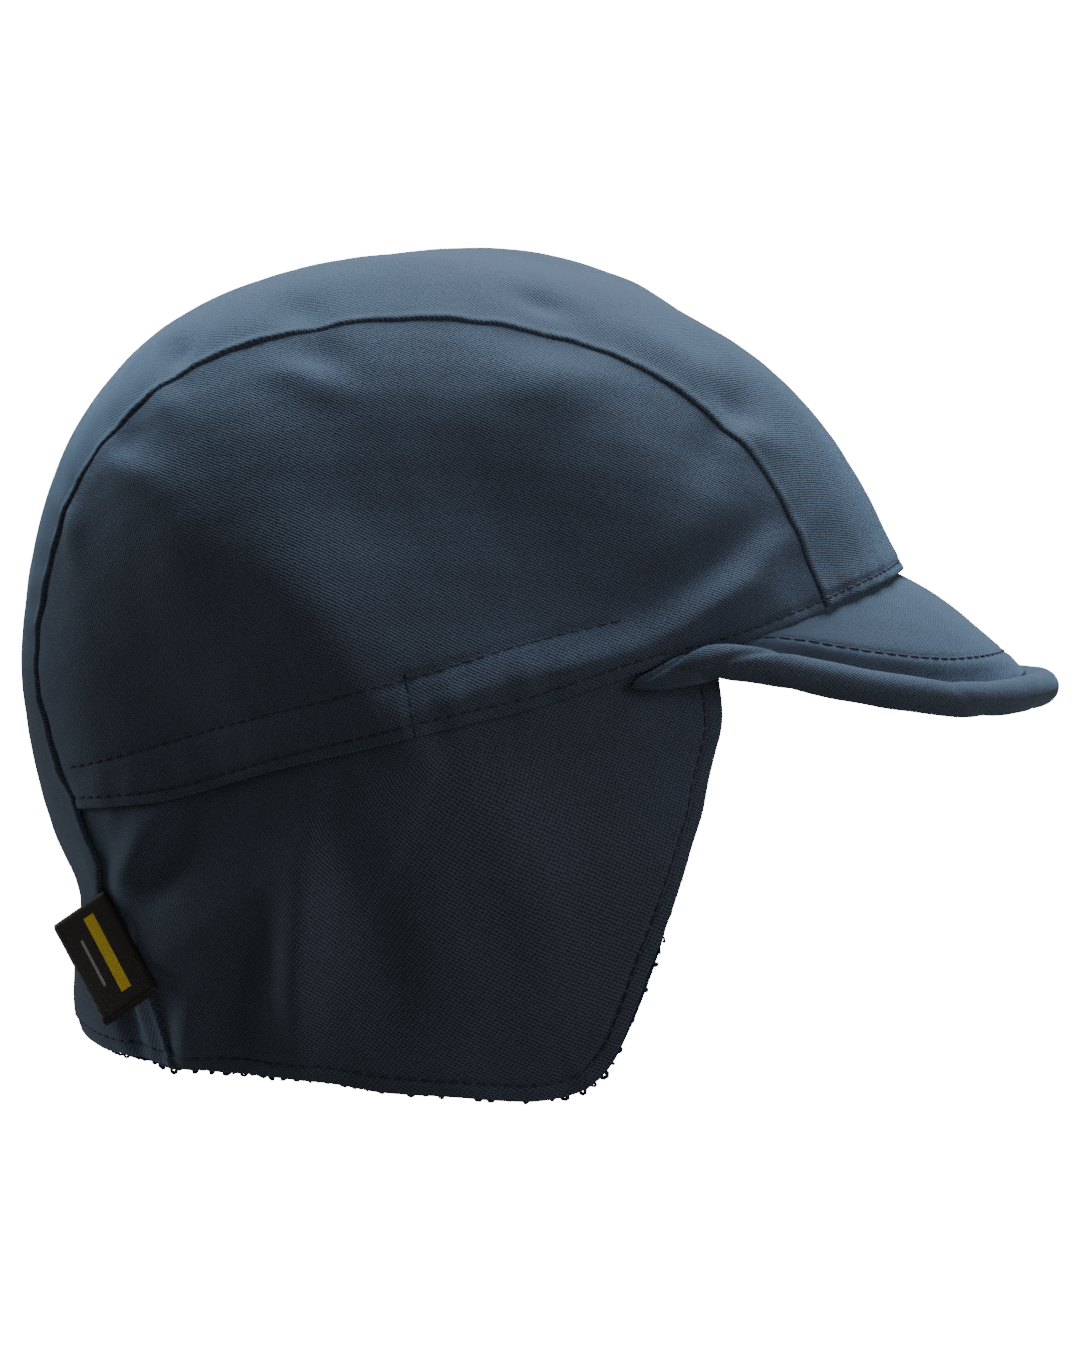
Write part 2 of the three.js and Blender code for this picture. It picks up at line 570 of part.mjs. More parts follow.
function buildCap() {
  const cap = new THREE.Group();
  const add = (name, geometry, material) => cap.add(makeMesh(name, geometry, material));
  const liningTop = CLOTH + LAYER_GAP;
  const strip = (u, v) => stripPoint(u, v, SEAM_GAP / 2);
  const crownStrip = layerGeometry(STRIP_CELLS, strip, -STRIP_LIFT, CLOTH);
  add("crown_strip", crownStrip, MATERIALS.canvas);
  // The lining covers the last cells of the strip, facet for facet.
  const napeStart = 1 - NAPE_CELLS[0] / STRIP_CELLS[0];
  const nape = (u, v) => stripPoint(mix(napeStart, 1, u), v, SEAM_GAP / 2 + LAYER_GAP);
  const napeLining = layerGeometry(NAPE_CELLS, nape, liningTop - STRIP_LIFT, PILE);
  add("nape_lining", napeLining, MATERIALS.pile);
  const [panel, flap] = [sidePanelPatch(), flapPatch()];
  for (const [side, word] of [[RIGHT, "right"], [LEFT, "left"]]) {
    add(`side_panel_${word}`, sideGeometry(SIDE_CELLS, panel, side, 0, CLOTH), MATERIALS.canvas);
    add(`ear_flap_${word}`, sideGeometry(FLAP_CELLS, flap, side, -FLAP_LIFT, CLOTH), MATERIALS.canvas);
    const lining = sideGeometry(FLAP_CELLS, flap, side, liningTop - FLAP_LIFT, PILE);
    add(`flap_lining_${word}`, lining, MATERIALS.pile);
  }
  add("peak_top", peakTopGeometry(), MATERIALS.canvas);
  add("peak_rim", rimGeometry(), MATERIALS.canvas);
  add("peak_lining", peakLiningGeometry(), MATERIALS.pile);
  addLabel(cap);
  return cap;
}

export default buildCap();
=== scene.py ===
# %% [markdown]
# # A lined winter work cap
# The cap is sewn from navy cotton canvas: a strip from the peak over the crown to the nape, two
# side panels, ear flaps that run round to the strip, and a short soft peak with a rolled edge.
# Curly pile lines the flaps and the underside of the peak. The solids come from the CAD part,
# and each piece of cloth is made here again as a fine mesh that stays where its solid is.

# %% Load the frame
import bpy
import numpy as np
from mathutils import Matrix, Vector, kdtree


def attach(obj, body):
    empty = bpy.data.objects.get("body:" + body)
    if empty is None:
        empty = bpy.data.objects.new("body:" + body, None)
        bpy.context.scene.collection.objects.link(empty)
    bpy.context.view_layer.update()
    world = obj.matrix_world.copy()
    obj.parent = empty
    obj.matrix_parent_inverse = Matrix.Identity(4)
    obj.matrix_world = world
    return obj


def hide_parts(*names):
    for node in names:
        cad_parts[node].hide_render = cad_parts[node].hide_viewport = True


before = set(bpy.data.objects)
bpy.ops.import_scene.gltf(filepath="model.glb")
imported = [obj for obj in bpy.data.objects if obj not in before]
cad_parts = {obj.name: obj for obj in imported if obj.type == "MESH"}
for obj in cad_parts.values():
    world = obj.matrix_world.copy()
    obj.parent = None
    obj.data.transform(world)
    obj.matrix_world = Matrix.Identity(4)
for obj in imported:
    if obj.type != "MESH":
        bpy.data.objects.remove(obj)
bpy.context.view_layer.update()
MM = 0.001
RIGHT, LEFT = -1, 1
print("nodes:", len(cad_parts))

# %% [markdown]
# ## The cap's form
# A sewn cap, filled out as it is when worn, is close to an egg. It could be sculpted, but then
# every seam would have to be found on the mesh afterwards. Here the form is a rule: a polar
# outline round the ears, seen from the side, and a superellipse for every section through the
# ears. The rule gives a point for any place on the cap, so seams, folds and stitches are all
# drawn on it.

# %% Tables and smooth curves
def table(columns, rows):
    """Rows of numbers as named columns."""
    return dict(zip(columns.split(), np.array(rows, float).T))


def smooth(keys, values, period=0):
    """A smooth curve through the table's rows; with a period it closes on itself."""
    keys, values = np.asarray(keys, float), np.asarray(values, float)
    first = keys[0]
    if period:
        keys = np.concatenate([keys - period, keys, keys + period])
        values = np.tile(values, 3)
    slopes = np.empty_like(values)
    slopes[1:-1] = (values[2:] - values[:-2]) / (keys[2:] - keys[:-2])
    slopes[[0, -1]] = np.diff(values)[[0, -1]] / np.diff(keys)[[0, -1]]

    def curve(x):
        place = (np.asarray(x, float) - first) % period + first if period else np.asarray(x, float)
        i = np.clip(np.searchsorted(keys, place, "right") - 1, 0, len(keys) - 2)
        span = keys[i + 1] - keys[i]
        t = (place - keys[i]) / span
        held = values[i] * (2 * t**3 - 3 * t**2 + 1) + values[i + 1] * (3 * t**2 - 2 * t**3)
        return held + span * (slopes[i] * (t**3 - 2 * t**2 + t) + slopes[i + 1] * (t**3 - t**2))

    return curve


OUTLINE = table("angle radius", [
    (20, 117.4), (32, 117.6), (45, 118.5), (60, 117.2), (74, 116.4), (88, 116.8), (108, 120),
    (126, 122.5), (140, 120.4), (152, 115.5), (158, 112.9), (165, 110.6), (172, 108.8), (180, 106.1),
    (194, 103.1), (204, 102.3), (211, 110.4), (216, 117.4), (219, 119.6), (232, 128.5), (250, 139),
    (272, 147), (300, 150), (325, 142), (350, 125),
])
outline_radius = smooth(OUTLINE["angle"], OUTLINE["radius"], period=360)

# %% Points and normals of the form
HALF_WIDTH = 86
SECTION_POWER = 2.2


def superellipse(share):
    """How far out a superellipse of half size 1 is where its other coordinate is `share`."""
    return np.maximum(0, 1 - np.abs(share) ** SECTION_POWER) ** (1 / SECTION_POWER)


def angle_of(x, z):
    return np.degrees(np.arctan2(z, x))


def polar(angle, radius):
    return np.stack([radius * np.cos(np.radians(angle)), radius * np.sin(np.radians(angle))], -1)


def form_points(x, z, side):
    """The form's points at side-view places on one side."""
    share = np.hypot(x, z) / outline_radius(angle_of(x, z))
    return np.stack([x, side * HALF_WIDTH * superellipse(share), z], -1)


def ring_points(angle, y):
    """The form's points at an angle round the ears and a distance from the middle plane."""
    place = polar(angle, outline_radius(angle) * superellipse(y / HALF_WIDTH))
    return np.stack([place[..., 0], np.broadcast_to(y, place.shape[:-1]), place[..., 1]], -1)


def form_normals(points):
    def reach(p):
        share = np.hypot(p[..., 0], p[..., 2]) / outline_radius(angle_of(p[..., 0], p[..., 2]))
        return share**SECTION_POWER + np.abs(p[..., 1] / HALF_WIDTH) ** SECTION_POWER

    steps = 0.01 * np.eye(3)
    normals = np.stack([reach(points + step) - reach(points - step) for step in steps], -1)
    return unit(normals)


def unit(vectors):
    return vectors / np.linalg.norm(vectors, axis=-1, keepdims=True)


# %% [markdown]
# ## Folds
# Cloth that is sewn to a shorter seam or pushed down stands up in soft folds. They could come
# from a cloth simulation, but these have to lie where the real cap has them. So each fold is a
# row in a table: a long soft hill, or a dent where its height is below 0, on the form.

# %% The table of folds
FOLDS = table("side x z turn length width height", [
    # the far half of the strip stands up in a long hump
    (LEFT, 18, 111.4, -9, 38, 13, 6.4),
    (LEFT, 46, 103, -40, 11, 9, 2),
    # right temple
    (RIGHT, 61.5, 43, 31, 22, 5.4, -2.9),
    (RIGHT, 61, 32, 33, 24, 6, 4.8),
    (RIGHT, 75, 47.5, 29, 9, 4.2, 1.1),
    (RIGHT, 83.5, 44.5, 32, 13, 4.4, -1.9),
    # puckers across the right seam of the strip, from the back to the front
    (RIGHT, -93, 52.5, -48, 11, 5.2, 2.5),
    (RIGHT, -79, 73, -41, 9.5, 4.4, -1.6),
    (RIGHT, -76, 64, -31, 12.5, 5.2, 1.4),
    (RIGHT, -67, 91.5, -58, 10.5, 4, -2.5),
    (RIGHT, -69, 81.5, -48, 10.5, 4.6, 0.9),
    (RIGHT, -35, 99, -69, 15, 5.6, -2.8),
    (RIGHT, -33.5, 87, -34, 13, 5.2, 1.5),
    (RIGHT, 20.5, 98, -13, 14, 6, -2.1),
    (RIGHT, 22, 105, -54, 8, 5.2, -2),
    (RIGHT, 24.5, 85.5, 22, 14, 9, 2.2),
    (RIGHT, 51.5, 91.5, -15, 16.5, 13.5, 1.8),
    (RIGHT, 68.5, 79.5, 56, 11, 6.5, -3.4),
    (RIGHT, 72, 71.5, 27, 9, 4.8, 1.8),
    (RIGHT, 63, 72, 57, 13.5, 6, -2.2),
    # the back of the right panel hangs in from a slanting ridge
    (RIGHT, -33, 29.5, -39, 45, 13.5, 3.1),
    (RIGHT, -16.5, 8.5, -49, 15.5, 6, 1.8),
    (RIGHT, -65, -1, -50, 41, 23.5, -7.1),
    # hollows in the right panel
    (RIGHT, -53.5, 51, -65, 14.5, 9.5, -1.2),
    (RIGHT, -52, 37.5, -46, 17, 9, -1.6),
    (RIGHT, -16, 53, -37, 22, 11.5, -2.2),
    (RIGHT, 14, 54.5, -33, 38, 19.5, -4.8),
    (RIGHT, 12, 32, -5, 25, 13, -2.2),
    # elastic tunnel, puffed up ahead of its bar
    (RIGHT, 4.5, 12, 19, 10, 4, 1.2),
    (RIGHT, 32.5, 20, 19, 18.5, 4.4, 2),
    (RIGHT, 17.5, 18.5, 5, 16.5, 6, 1.3),
    (RIGHT, -3.5, 6.5, 17, 16, 4.8, 0.8),
    # right flap
    (RIGHT, -77.5, -30.5, 43, 14, 5.4, 4.4),
    (RIGHT, -69.5, -28.5, 50, 12.5, 4.8, -1.8),
    (RIGHT, -85, -37.5, -39, 9.5, 4, 2.2),
    (RIGHT, -36.5, -50, -95, 31, 6, 4.6),
    (RIGHT, -18.5, -46.5, -78, 29, 9.5, -3.1),
    (RIGHT, 20, -31.5, -80, 25, 9, 1.7),
    (RIGHT, -63, -71, 63, 11.5, 5.2, 3.7),
    (RIGHT, -48.5, -61.5, 73, 15.5, 5, -3.6),
    (RIGHT, 40.5, 3, 44, 10, 4, 0.9),
    (RIGHT, -32, -23, -87, 16.5, 7.5, -1.3),
    (RIGHT, 8, -16.5, -75, 16, 8.5, 1),
    (RIGHT, -48, -69.5, 23, 10.5, 6.5, -1.2),
    (RIGHT, -7, -77, 7, 15.5, 8.5, 1.2),
    # gather in the strip's hem beside the seam
    (RIGHT, -80, -66, 100, 14, 3.5, -3.2),
    (LEFT, -81, -66, 100, 12, 4, -2.4),
    # left temple, seam and flap
    (LEFT, 62, 44, 30, 20, 6, -2.2),
    (LEFT, 63, 34, 28, 22, 5.5, 2.6),
    (LEFT, -76, 76, -42, 10, 4.5, -1.7),
    (LEFT, -48, 92, -52, 10, 5, 1.9),
    (LEFT, -20, 99, -60, 10, 5, -2.2),
    (LEFT, 50, 90, 40, 11, 5, -1.9),
    (LEFT, 16, 16, 20, 16, 4, 0.9),
    (LEFT, -74, -28, 52, 12, 4.5, 2.2),
    (LEFT, -8, -42, -80, 25, 10, 2.4),
    (LEFT, -30, -50, -74, 24, 9, -1.9),
    (LEFT, -44, 28, -40, 30, 11, 2),
])


def fold_frames():
    centres = form_points(FOLDS["x"], FOLDS["z"], FOLDS["side"])
    normals = form_normals(centres)
    turn = np.radians(FOLDS["turn"])
    along = np.stack([np.cos(turn), 0 * turn, np.sin(turn)], -1)
    along = unit(along - normals * np.sum(along * normals, -1, keepdims=True))
    across = np.cross(normals, along)
    return list(zip(centres, along, across, normals, FOLDS["length"], FOLDS["width"], FOLDS["height"]))


FOLD_FRAMES = fold_frames()

# %% Soft curves for relief
def groove(off, width=0.8):
    """A soft bell: 1 on a line, and near 0 from two widths away."""
    return np.exp(-((off / width) ** 2))


def soft_step(place, end, softness):
    """1 before `end` and 0 past it, with a soft change between."""
    return 1 / (1 + np.exp((place - end) / softness))


def waves(places, size, seed, count=7):
    """Soft unevenness of about -1 to 1: seeded waves, about `size` mm long, from all sides."""
    dice = np.random.default_rng(seed)
    total = np.zeros(places.shape[:-1])
    for _ in range(count):
        way = unit(dice.normal(size=places.shape[-1]))
        turns = places @ way / (size * dice.uniform(0.7, 1.5)) + dice.uniform()
        total += np.sin(2 * np.pi * turns)
    return total / (0.7 * count)


# %% [markdown]
# ## Seams and edges
# A seam is a line on the form. Where it runs decides the look of the cap more than anything
# else, so the lines repeat the CAD part's own tables. Each one is kept as closely spaced points
# in a search tree, which tells any point of the cloth how far off the seam it is.

# %% The seams' tables
PEAK_SEAM_ANGLE = 19.3
BAND_END_ANGLE = 190.7
NAPE_HEM_ANGLE = 219.1
HEM_CORNER_ANGLE = 230
FLAP_CORNER_ANGLE = -66
FLAP_SHARE = 22 / 26
HEM_POWER = 2.2
# half of the gap between two pieces at a seam
HALF_GAP = 0.15
STRIP = table("angle half_width", [
    (19, 54), (49, 50), (78, 47.5), (105, 47), (125, 42.5), (146, 36), (158, 32), (170, 31),
    (182, 36), (192, 41), (204, 42.5), (210, 48.5), (217, 55), (223, 56), (229, 54),
])
BAND = [
    (66, 23.1), (49, 19.2), (35, 14.8), (19, 9.6), (-1, 5), (-25, -1.1), (-42, -5.5), (-59, -11),
    (-71, -14.6),
]
FLAP_EDGE = [
    (-127, 100.8), (-114.7, 89.5), (-102, 86.4), (-89, 85.7), (-77, 89), (-70, 90.1), (-64, 86.7),
    (-58, 80.5), (-51, 74.2), (-45, 70.4), (-36, 66.5), (-26, 64), (-16, 63.4), (-8, 63.2), (4, 65.4),
]
TUNNEL = table("x z", [
    (-96, -8.4), (-87, -6), (-66.7, 0.6), (-50, 5.6), (-33, 9.9), (-17, 14), (-1, 18.6), (14, 23.4),
    (27, 26.8), (41, 30),
])
strip_half_width = smooth(STRIP["angle"], STRIP["half_width"])
tunnel_height = smooth(TUNNEL["x"], TUNNEL["z"])


def seam_place(angle, clear):
    """The side-view place of the strip's seam, moved away from the strip by `clear`."""
    return ring_points(angle, strip_half_width(angle) + clear)[..., [0, 2]]


front_corner = seam_place(np.array(PEAK_SEAM_ANGLE), HALF_GAP)
back_corner = seam_place(np.array(BAND_END_ANGLE), HALF_GAP)
band_rows = np.array([back_corner, *BAND[::-1], front_corner])
band_height = smooth(band_rows[:, 0], band_rows[:, 1])


def band_place(share, clear):
    """A place on the band seam, from its back end at 0 to the strip's front seam at 1."""
    x = back_corner[0] + share * (front_corner[0] - back_corner[0])
    return np.stack([x, band_height(x) + clear], -1)


def polar_row(place):
    return angle_of(*place), np.hypot(*place)


flap_rows = np.array([
    polar_row(seam_place(np.array(HEM_CORNER_ANGLE), HALF_GAP)),
    *FLAP_EDGE,
    polar_row(band_place(FLAP_SHARE, -HALF_GAP)),
])
flap_edge_radius = smooth(flap_rows[:, 0], flap_rows[:, 1])


def hem_angle(across):
    """The angle of the strip's hem, from -1 at the right seam over 0 to 1 at the left."""
    return NAPE_HEM_ANGLE + (HEM_CORNER_ANGLE - NAPE_HEM_ANGLE) * np.abs(across) ** HEM_POWER


# %% How high the folds stand
SEAM_HOLD = 0.7
SEAM_HOLD_WIDTH = 6
CROWN_END_ANGLE = 185


def seam_hold(points):
    """How firmly the strip's seams hold the cloth flat at points, on the crown only."""
    angle = angle_of(points[..., 0], points[..., 2]) % 360
    seam_angle = np.clip(angle, STRIP["angle"][0], STRIP["angle"][-1])
    off = np.abs(points[..., 1]) - strip_half_width(seam_angle)
    return SEAM_HOLD * soft_step(angle, CROWN_END_ANGLE, 4) * groove(off, SEAM_HOLD_WIDTH)


def fold_heights(points):
    """How far the folds push the cloth out at points of the form."""
    heights = np.zeros(points.shape[:-1])
    for centre, along, across, normal, length, width, height in FOLD_FRAMES:
        way = points - centre
        spread = (way @ along / length) ** 2 + (way @ across / width) ** 2
        heights += height * np.exp(-spread - (way @ normal / length) ** 2)
    return heights * (1 - seam_hold(points))


# %% Lines and distances
# the form's radius at the peak's seam and at the nape's hem, where lines are moved along it
PEAK_SEAM_RADIUS = 119
NAPE_HEM_RADIUS = 105
# more than any line's length, so that places on two lines of a tree are never mixed up
LINE_OFFSET = 1000
# the side-view place of the bar's upper end, and its run from there
BAR_TOP = (-10.5, 17.2)
BAR_RUN = (2.4, -13.4)


def line_tree(*lines):
    """A search tree over the points of lines, with how far along its line each point lies."""
    points = np.concatenate(lines)
    tree = kdtree.KDTree(len(points))
    for i, point in enumerate(points):
        tree.insert(point, i)
    tree.balance()
    reach = []
    for k, line in enumerate(lines):
        steps = np.linalg.norm(np.diff(line, axis=0), axis=1)
        reach.append(LINE_OFFSET * k + np.insert(np.cumsum(steps), 0, 0))
    return tree, np.concatenate(reach)


def along_and_off(lines, points):
    """For every point, how far along the nearest line it is and how far off that line."""
    tree, reach = lines
    found = [tree.find(point)[1:] for point in points.reshape(-1, 3)]
    index, off = np.array(found).T
    shape = points.shape[:-1]
    return reach[index.astype(int)].reshape(shape), off.reshape(shape)


def strip_seam(side):
    angle = np.linspace(PEAK_SEAM_ANGLE, HEM_CORNER_ANGLE, 1400)
    return ring_points(angle, side * strip_half_width(angle))


def strip_front(rise=0):
    angle = PEAK_SEAM_ANGLE + np.degrees(rise / PEAK_SEAM_RADIUS)
    width = strip_half_width(angle) - 0.4
    return ring_points(angle, np.linspace(-width, width, 400))


def nape_hem(inset=0):
    across = np.linspace(-0.97, 0.97, 400)
    angle = hem_angle(across) - np.degrees(inset / NAPE_HEM_RADIUS)
    return ring_points(angle, across * strip_half_width(angle))


def band_seam(side, rise=0, start=0.0, end=1.0):
    place = band_place(np.linspace(start, end, 900), rise)
    return form_points(place[:, 0], place[:, 1], side)


def flap_edge(side, inset=0):
    angle = np.linspace(flap_rows[0, 0], flap_rows[-1, 0], 900)
    place = polar(angle, flap_edge_radius(angle) - inset)
    return form_points(place[:, 0], place[:, 1], side)


def tunnel_line(side):
    x = np.linspace(-93, 40, 600)
    return form_points(x, tunnel_height(x), side)


def tunnel_bar(side):
    t = np.linspace(0, 1, 60)
    return form_points(BAR_TOP[0] + BAR_RUN[0] * t, BAR_TOP[1] + BAR_RUN[1] * t, side)


# %% [markdown]
# ## Relief at seams
# A topstitched edge has four layers of canvas in it: it stands up, and its stitches pull a
# groove into it. An edge that is sewn from inside has only a thin lip. In both, the thread draws
# the cloth into small puckers. A displacement texture could show that, but it wouldn't follow
# the seams. So the relief is worked out from the distance to each seam, in millimetres, and
# moves the points of the mesh themselves.

# %% How an edge and its stitches lift the cloth
HEM_DEPTH = 6.5
STITCH_PULL = 0.4
TUNNEL_PULL = 0.5
FLAP_HOLLOW = 0.9


def pucker(along, off, seed):
    """The small waves that a tight thread draws into the cloth on both sides of a seam."""
    return 0.38 * waves(along[..., None], 13, seed) * np.exp(-off / 7)


def hemmed_edge(lines, points, stitch, rise, seed):
    """A folded edge: it stands `rise` mm up, with a groove `stitch` mm in from it."""
    along, off = along_and_off(lines, points)
    raised = rise * soft_step(off, HEM_DEPTH, 1.1)
    return raised - STITCH_PULL * groove(off - stitch, 0.7) + pucker(along, off, seed)


def roped_edge(lines, points, seed):
    """A folded edge that is sewn from inside: a thin uneven lip, and no groove."""
    along, off = along_and_off(lines, points)
    rope = 1 + 0.45 * waves(along[..., None], 3.2, seed + 50)
    return 0.3 * rope * groove(off, 1.3) + pucker(along, off, seed)


def tucked_edge(lines, points, covered, dip, seed):
    """An edge that runs down under its neighbour's fold, where it is covered."""
    along, off = along_and_off(lines, points)
    ahead = np.where(covered, -off, off)
    return pucker(along, off, seed) - dip * soft_step(ahead, 0.7, 0.6)


def under_strip(points):
    angle = angle_of(points[..., 0], points[..., 2]) % 360
    return np.abs(points[..., 1]) < strip_half_width(angle)


def under_panel(points):
    return points[..., 2] > band_height(points[..., 0])


STRIP_SEAMS = line_tree(strip_seam(RIGHT), strip_seam(LEFT))
STRIP_FRONT = line_tree(strip_front())
NAPE_HEM = line_tree(nape_hem())
BAND_SEAM = {side: line_tree(band_seam(side)) for side in (RIGHT, LEFT)}
FLAP_EDGES = {side: line_tree(flap_edge(side)) for side in (RIGHT, LEFT)}
TUNNELS = {side: line_tree(tunnel_line(side)) for side in (RIGHT, LEFT)}
BARS = {side: line_tree(tunnel_bar(side)) for side in (RIGHT, LEFT)}
SIDE_OF = {"right": RIGHT, "left": LEFT}


def loose_cloth(points, seed):
    return fold_heights(points) + 0.35 * waves(points, 34, seed) + 0.12 * waves(points, 11, seed + 1)


def strip_relief(points):
    height = loose_cloth(points, 3)
    height += roped_edge(STRIP_SEAMS, points, seed=5)
    height += hemmed_edge(STRIP_FRONT, points, stitch=2.6, rise=0.5, seed=6)
    return height + hemmed_edge(NAPE_HEM, points, stitch=4, rise=0.2, seed=7)


def tunnel_relief(points, side):
    """The elastic's tunnel: puffed up between its two rows of stitches, most ahead of the bar."""
    x, z = points[..., 0], points[..., 2]
    share = np.clip((z - band_height(x)) / (tunnel_height(x) - band_height(x)), 0, 1)
    fade = soft_step(x, 40, 4) * soft_step(-x, 88, 4)
    puff = 0.4 + 0.55 * soft_step(-x, 8, 5)
    gathers = 1 + 0.35 * waves(x[..., None], 8, 21 + side)
    off_line = along_and_off(TUNNELS[side], points)[1]
    off_bar = along_and_off(BARS[side], points)[1]
    height = fade * (puff * gathers * np.sin(np.pi * share) - TUNNEL_PULL * groove(off_line, 1))
    return height - TUNNEL_PULL * groove(off_bar, 0.9)


def panel_relief(points, side):
    height = loose_cloth(points, 11 + side)
    height += tucked_edge(STRIP_SEAMS, points, under_strip(points), dip=0.5, seed=5)
    height += hemmed_edge(BAND_SEAM[side], points, stitch=2.1, rise=0.3, seed=14 + side)
    return height + tunnel_relief(points, side)


def flap_relief(points, side):
    height = loose_cloth(points, 31 + side)
    height += tucked_edge(STRIP_SEAMS, points, under_strip(points), dip=0.4, seed=5)
    height += tucked_edge(BAND_SEAM[side], points, under_panel(points), dip=0.5, seed=14 + side)
    height -= FLAP_HOLLOW * np.exp(-along_and_off(BAND_SEAM[side], points)[1] / 5)
    return height + hemmed_edge(FLAP_EDGES[side], points, stitch=4.4, rise=0.2, seed=34 + side)


# %% [markdown]
# ## Materials
# A finish that looks like cloth needs three things: colour that isn't quite even, a weave of
# the right size, and the soft shine at a grazing look that fibres give. Every size below is in
# millimetres, because the pieces carry a UV map in millimetres along the cloth.

# %% Colours and a helper for nodes
def linear(hex_colour):
    """An sRGB hex colour as linear RGBA."""
    channels = [int(hex_colour[i:i + 2], 16) / 255 for i in (1, 3, 5)]
    return [c / 12.92 if c <= 0.04045 else ((c + 0.055) / 1.055) ** 2.4 for c in channels] + [1]


def add_node(tree, kind, inputs=None, **settings):
    """Add a node, set it up, and give its inputs values or link them to sockets."""
    node = tree.nodes.new(kind)
    for key, value in settings.items():
        setattr(node, key, value)
    for key, value in (inputs or {}).items():
        if isinstance(value, bpy.types.NodeSocket):
            tree.links.new(value, node.inputs[key])
        else:
            node.inputs[key].default_value = value
    return node


def calculate(tree, operation, *values, **settings):
    """The result of a Math node on numbers or sockets."""
    inputs = dict(enumerate(values))
    return add_node(tree, "ShaderNodeMath", inputs, operation=operation, **settings).outputs[0]


def noise(tree, place, scale, detail):
    inputs = {"Vector": place, "Scale": scale, "Detail": detail}
    return add_node(tree, "ShaderNodeTexNoise", inputs).outputs["Fac"]


def mix_colours(tree, share, first, second):
    inputs = {"Factor": share, "A": first, "B": second}
    return add_node(tree, "ShaderNodeMix", inputs, data_type="RGBA").outputs[2]


def new_material(name, **shader_values):
    material = bpy.data.materials.new(name)
    material.use_nodes = True
    shader = material.node_tree.nodes["Principled BSDF"]
    for key, value in shader_values.items():
        shader.inputs[key.replace("_", " ")].default_value = value
    return material


def paint(material, colour, height=None, distance=0, strength=0):
    """Link a colour to the material's shader, and a bump where there is a height."""
    tree = material.node_tree
    shader = tree.nodes["Principled BSDF"]
    tree.links.new(colour, shader.inputs["Base Color"])
    if height is not None:
        bump = add_node(tree, "ShaderNodeBump", {
            "Height": height, "Distance": distance, "Strength": strength})
        tree.links.new(bump.outputs["Normal"], shader.inputs["Normal"])
    return material


# %% [markdown]
# ### Brushed cotton canvas
# The cloth is a tight navy twill weave, brushed so that it has no gloss. From close by, each
# thread crossing is a small raised lens, and the lenses lie in rows that slope down to the
# right. Two sets of sine waves that cross give just that, and are cheaper and cleaner than a
# picture. The rows and the crossings are about 0.7 mm apart, and noise makes them wander.

# %% The canvas
# a set of threads: its waves' direction in radians a millimetre, and the size of its wander
TWILL_ROWS = (4.2, 9, 0), 0.6
TWILL_CROSSINGS = (7.3, -4.7, 0), 1.1


def thread_waves(tree, cloth, direction, wander_scale):
    turns = add_node(tree, "ShaderNodeVectorMath", {0: cloth, 1: direction}, operation="DOT_PRODUCT")
    wander = noise(tree, cloth, wander_scale, 1)
    return calculate(tree, "SINE", calculate(tree, "MULTIPLY_ADD", wander, 5, turns.outputs["Value"]))


def twill_height(tree, cloth):
    rows = thread_waves(tree, cloth, *TWILL_ROWS)
    crossings = thread_waves(tree, cloth, *TWILL_CROSSINGS)
    crossed = calculate(tree, "MULTIPLY_ADD", crossings, 0.7, rows)
    span = {"Value": crossed, "From Min": -1.7, "From Max": 0.9}
    return add_node(tree, "ShaderNodeMapRange", span, interpolation_type="SMOOTHSTEP").outputs[0]


def canvas_material(name, pit, crest):
    material = new_material(
        name, Roughness=0.88, Sheen_Weight=0.45, Sheen_Roughness=0.45, Sheen_Tint=linear("#88aacb"),
        Specular_IOR_Level=0.25)
    tree = material.node_tree
    cloth = add_node(tree, "ShaderNodeUVMap", uv_map="cloth").outputs["UV"]
    weave = twill_height(tree, cloth)
    fade = calculate(tree, "MULTIPLY_ADD", noise(tree, cloth, 0.03, 3), 0.5, -0.35)
    slubs = calculate(tree, "MULTIPLY_ADD", noise(tree, cloth, 0.9, 2), 0.5, fade)
    # the weave's height colours it too: its pits are painted darker and its crests lighter, as painted
    # shade in the weave, on top of slubs and fade that vary the tone at random
    tone_and_pit_shade = calculate(tree, "MULTIPLY_ADD", weave, 0.75, slubs, use_clamp=True)
    colour = mix_colours(tree, tone_and_pit_shade, linear(pit), linear(crest))
    return paint(material, colour, weave, distance=0.0002, strength=0.9)


canvas = canvas_material("brushed_cotton_canvas", "#1b222d", "#3a465b")

# %% [markdown]
# ### Curly pile, thread and tape
# The pile is polyester fibre knitted into a backing and crimped into curls: it drinks light and
# has a little sheen at its tips. The thread is spun polyester, a shade more purple than the
# cloth. The label is a black satin tape with plain woven bars.

# %% The pile, the thread and the tape
def mottled(material, dark, light, scale, detail):
    """Give a material uneven colour in soft spots, and return the spots too."""
    tree = material.node_tree
    spots = noise(tree, add_node(tree, "ShaderNodeTexCoord").outputs["Object"], scale, detail)
    return mix_colours(tree, spots, linear(dark), linear(light)), spots


def pile_material():
    material = new_material(
        "crimped_pile", Roughness=0.95, Sheen_Weight=0.5, Sheen_Roughness=0.5, Sheen_Tint=linear("#8497b0"),
        Specular_IOR_Level=0.15)
    colour, clumps = mottled(material, "#0d1220", "#242f44", 420, 3)
    return paint(material, colour, clumps, distance=0.0008, strength=0.8)


def thread_material():
    material = new_material(
        "spun_polyester_thread", Roughness=0.75, Sheen_Weight=0.05, Specular_IOR_Level=0.2)
    colour, _ = mottled(material, "#191c2d", "#31364d", 300, 1)
    return paint(material, colour)


pile = pile_material()
thread = thread_material()

# %% [markdown]
# ## Walls of cloth
# A sheet of cloth could be a surface with a Solidify modifier. Here the thickness is built in,
# because the wall also needs a rolled edge: its two faces run together in a half circle at the
# border. The grid is closer there, so that the roll is round.

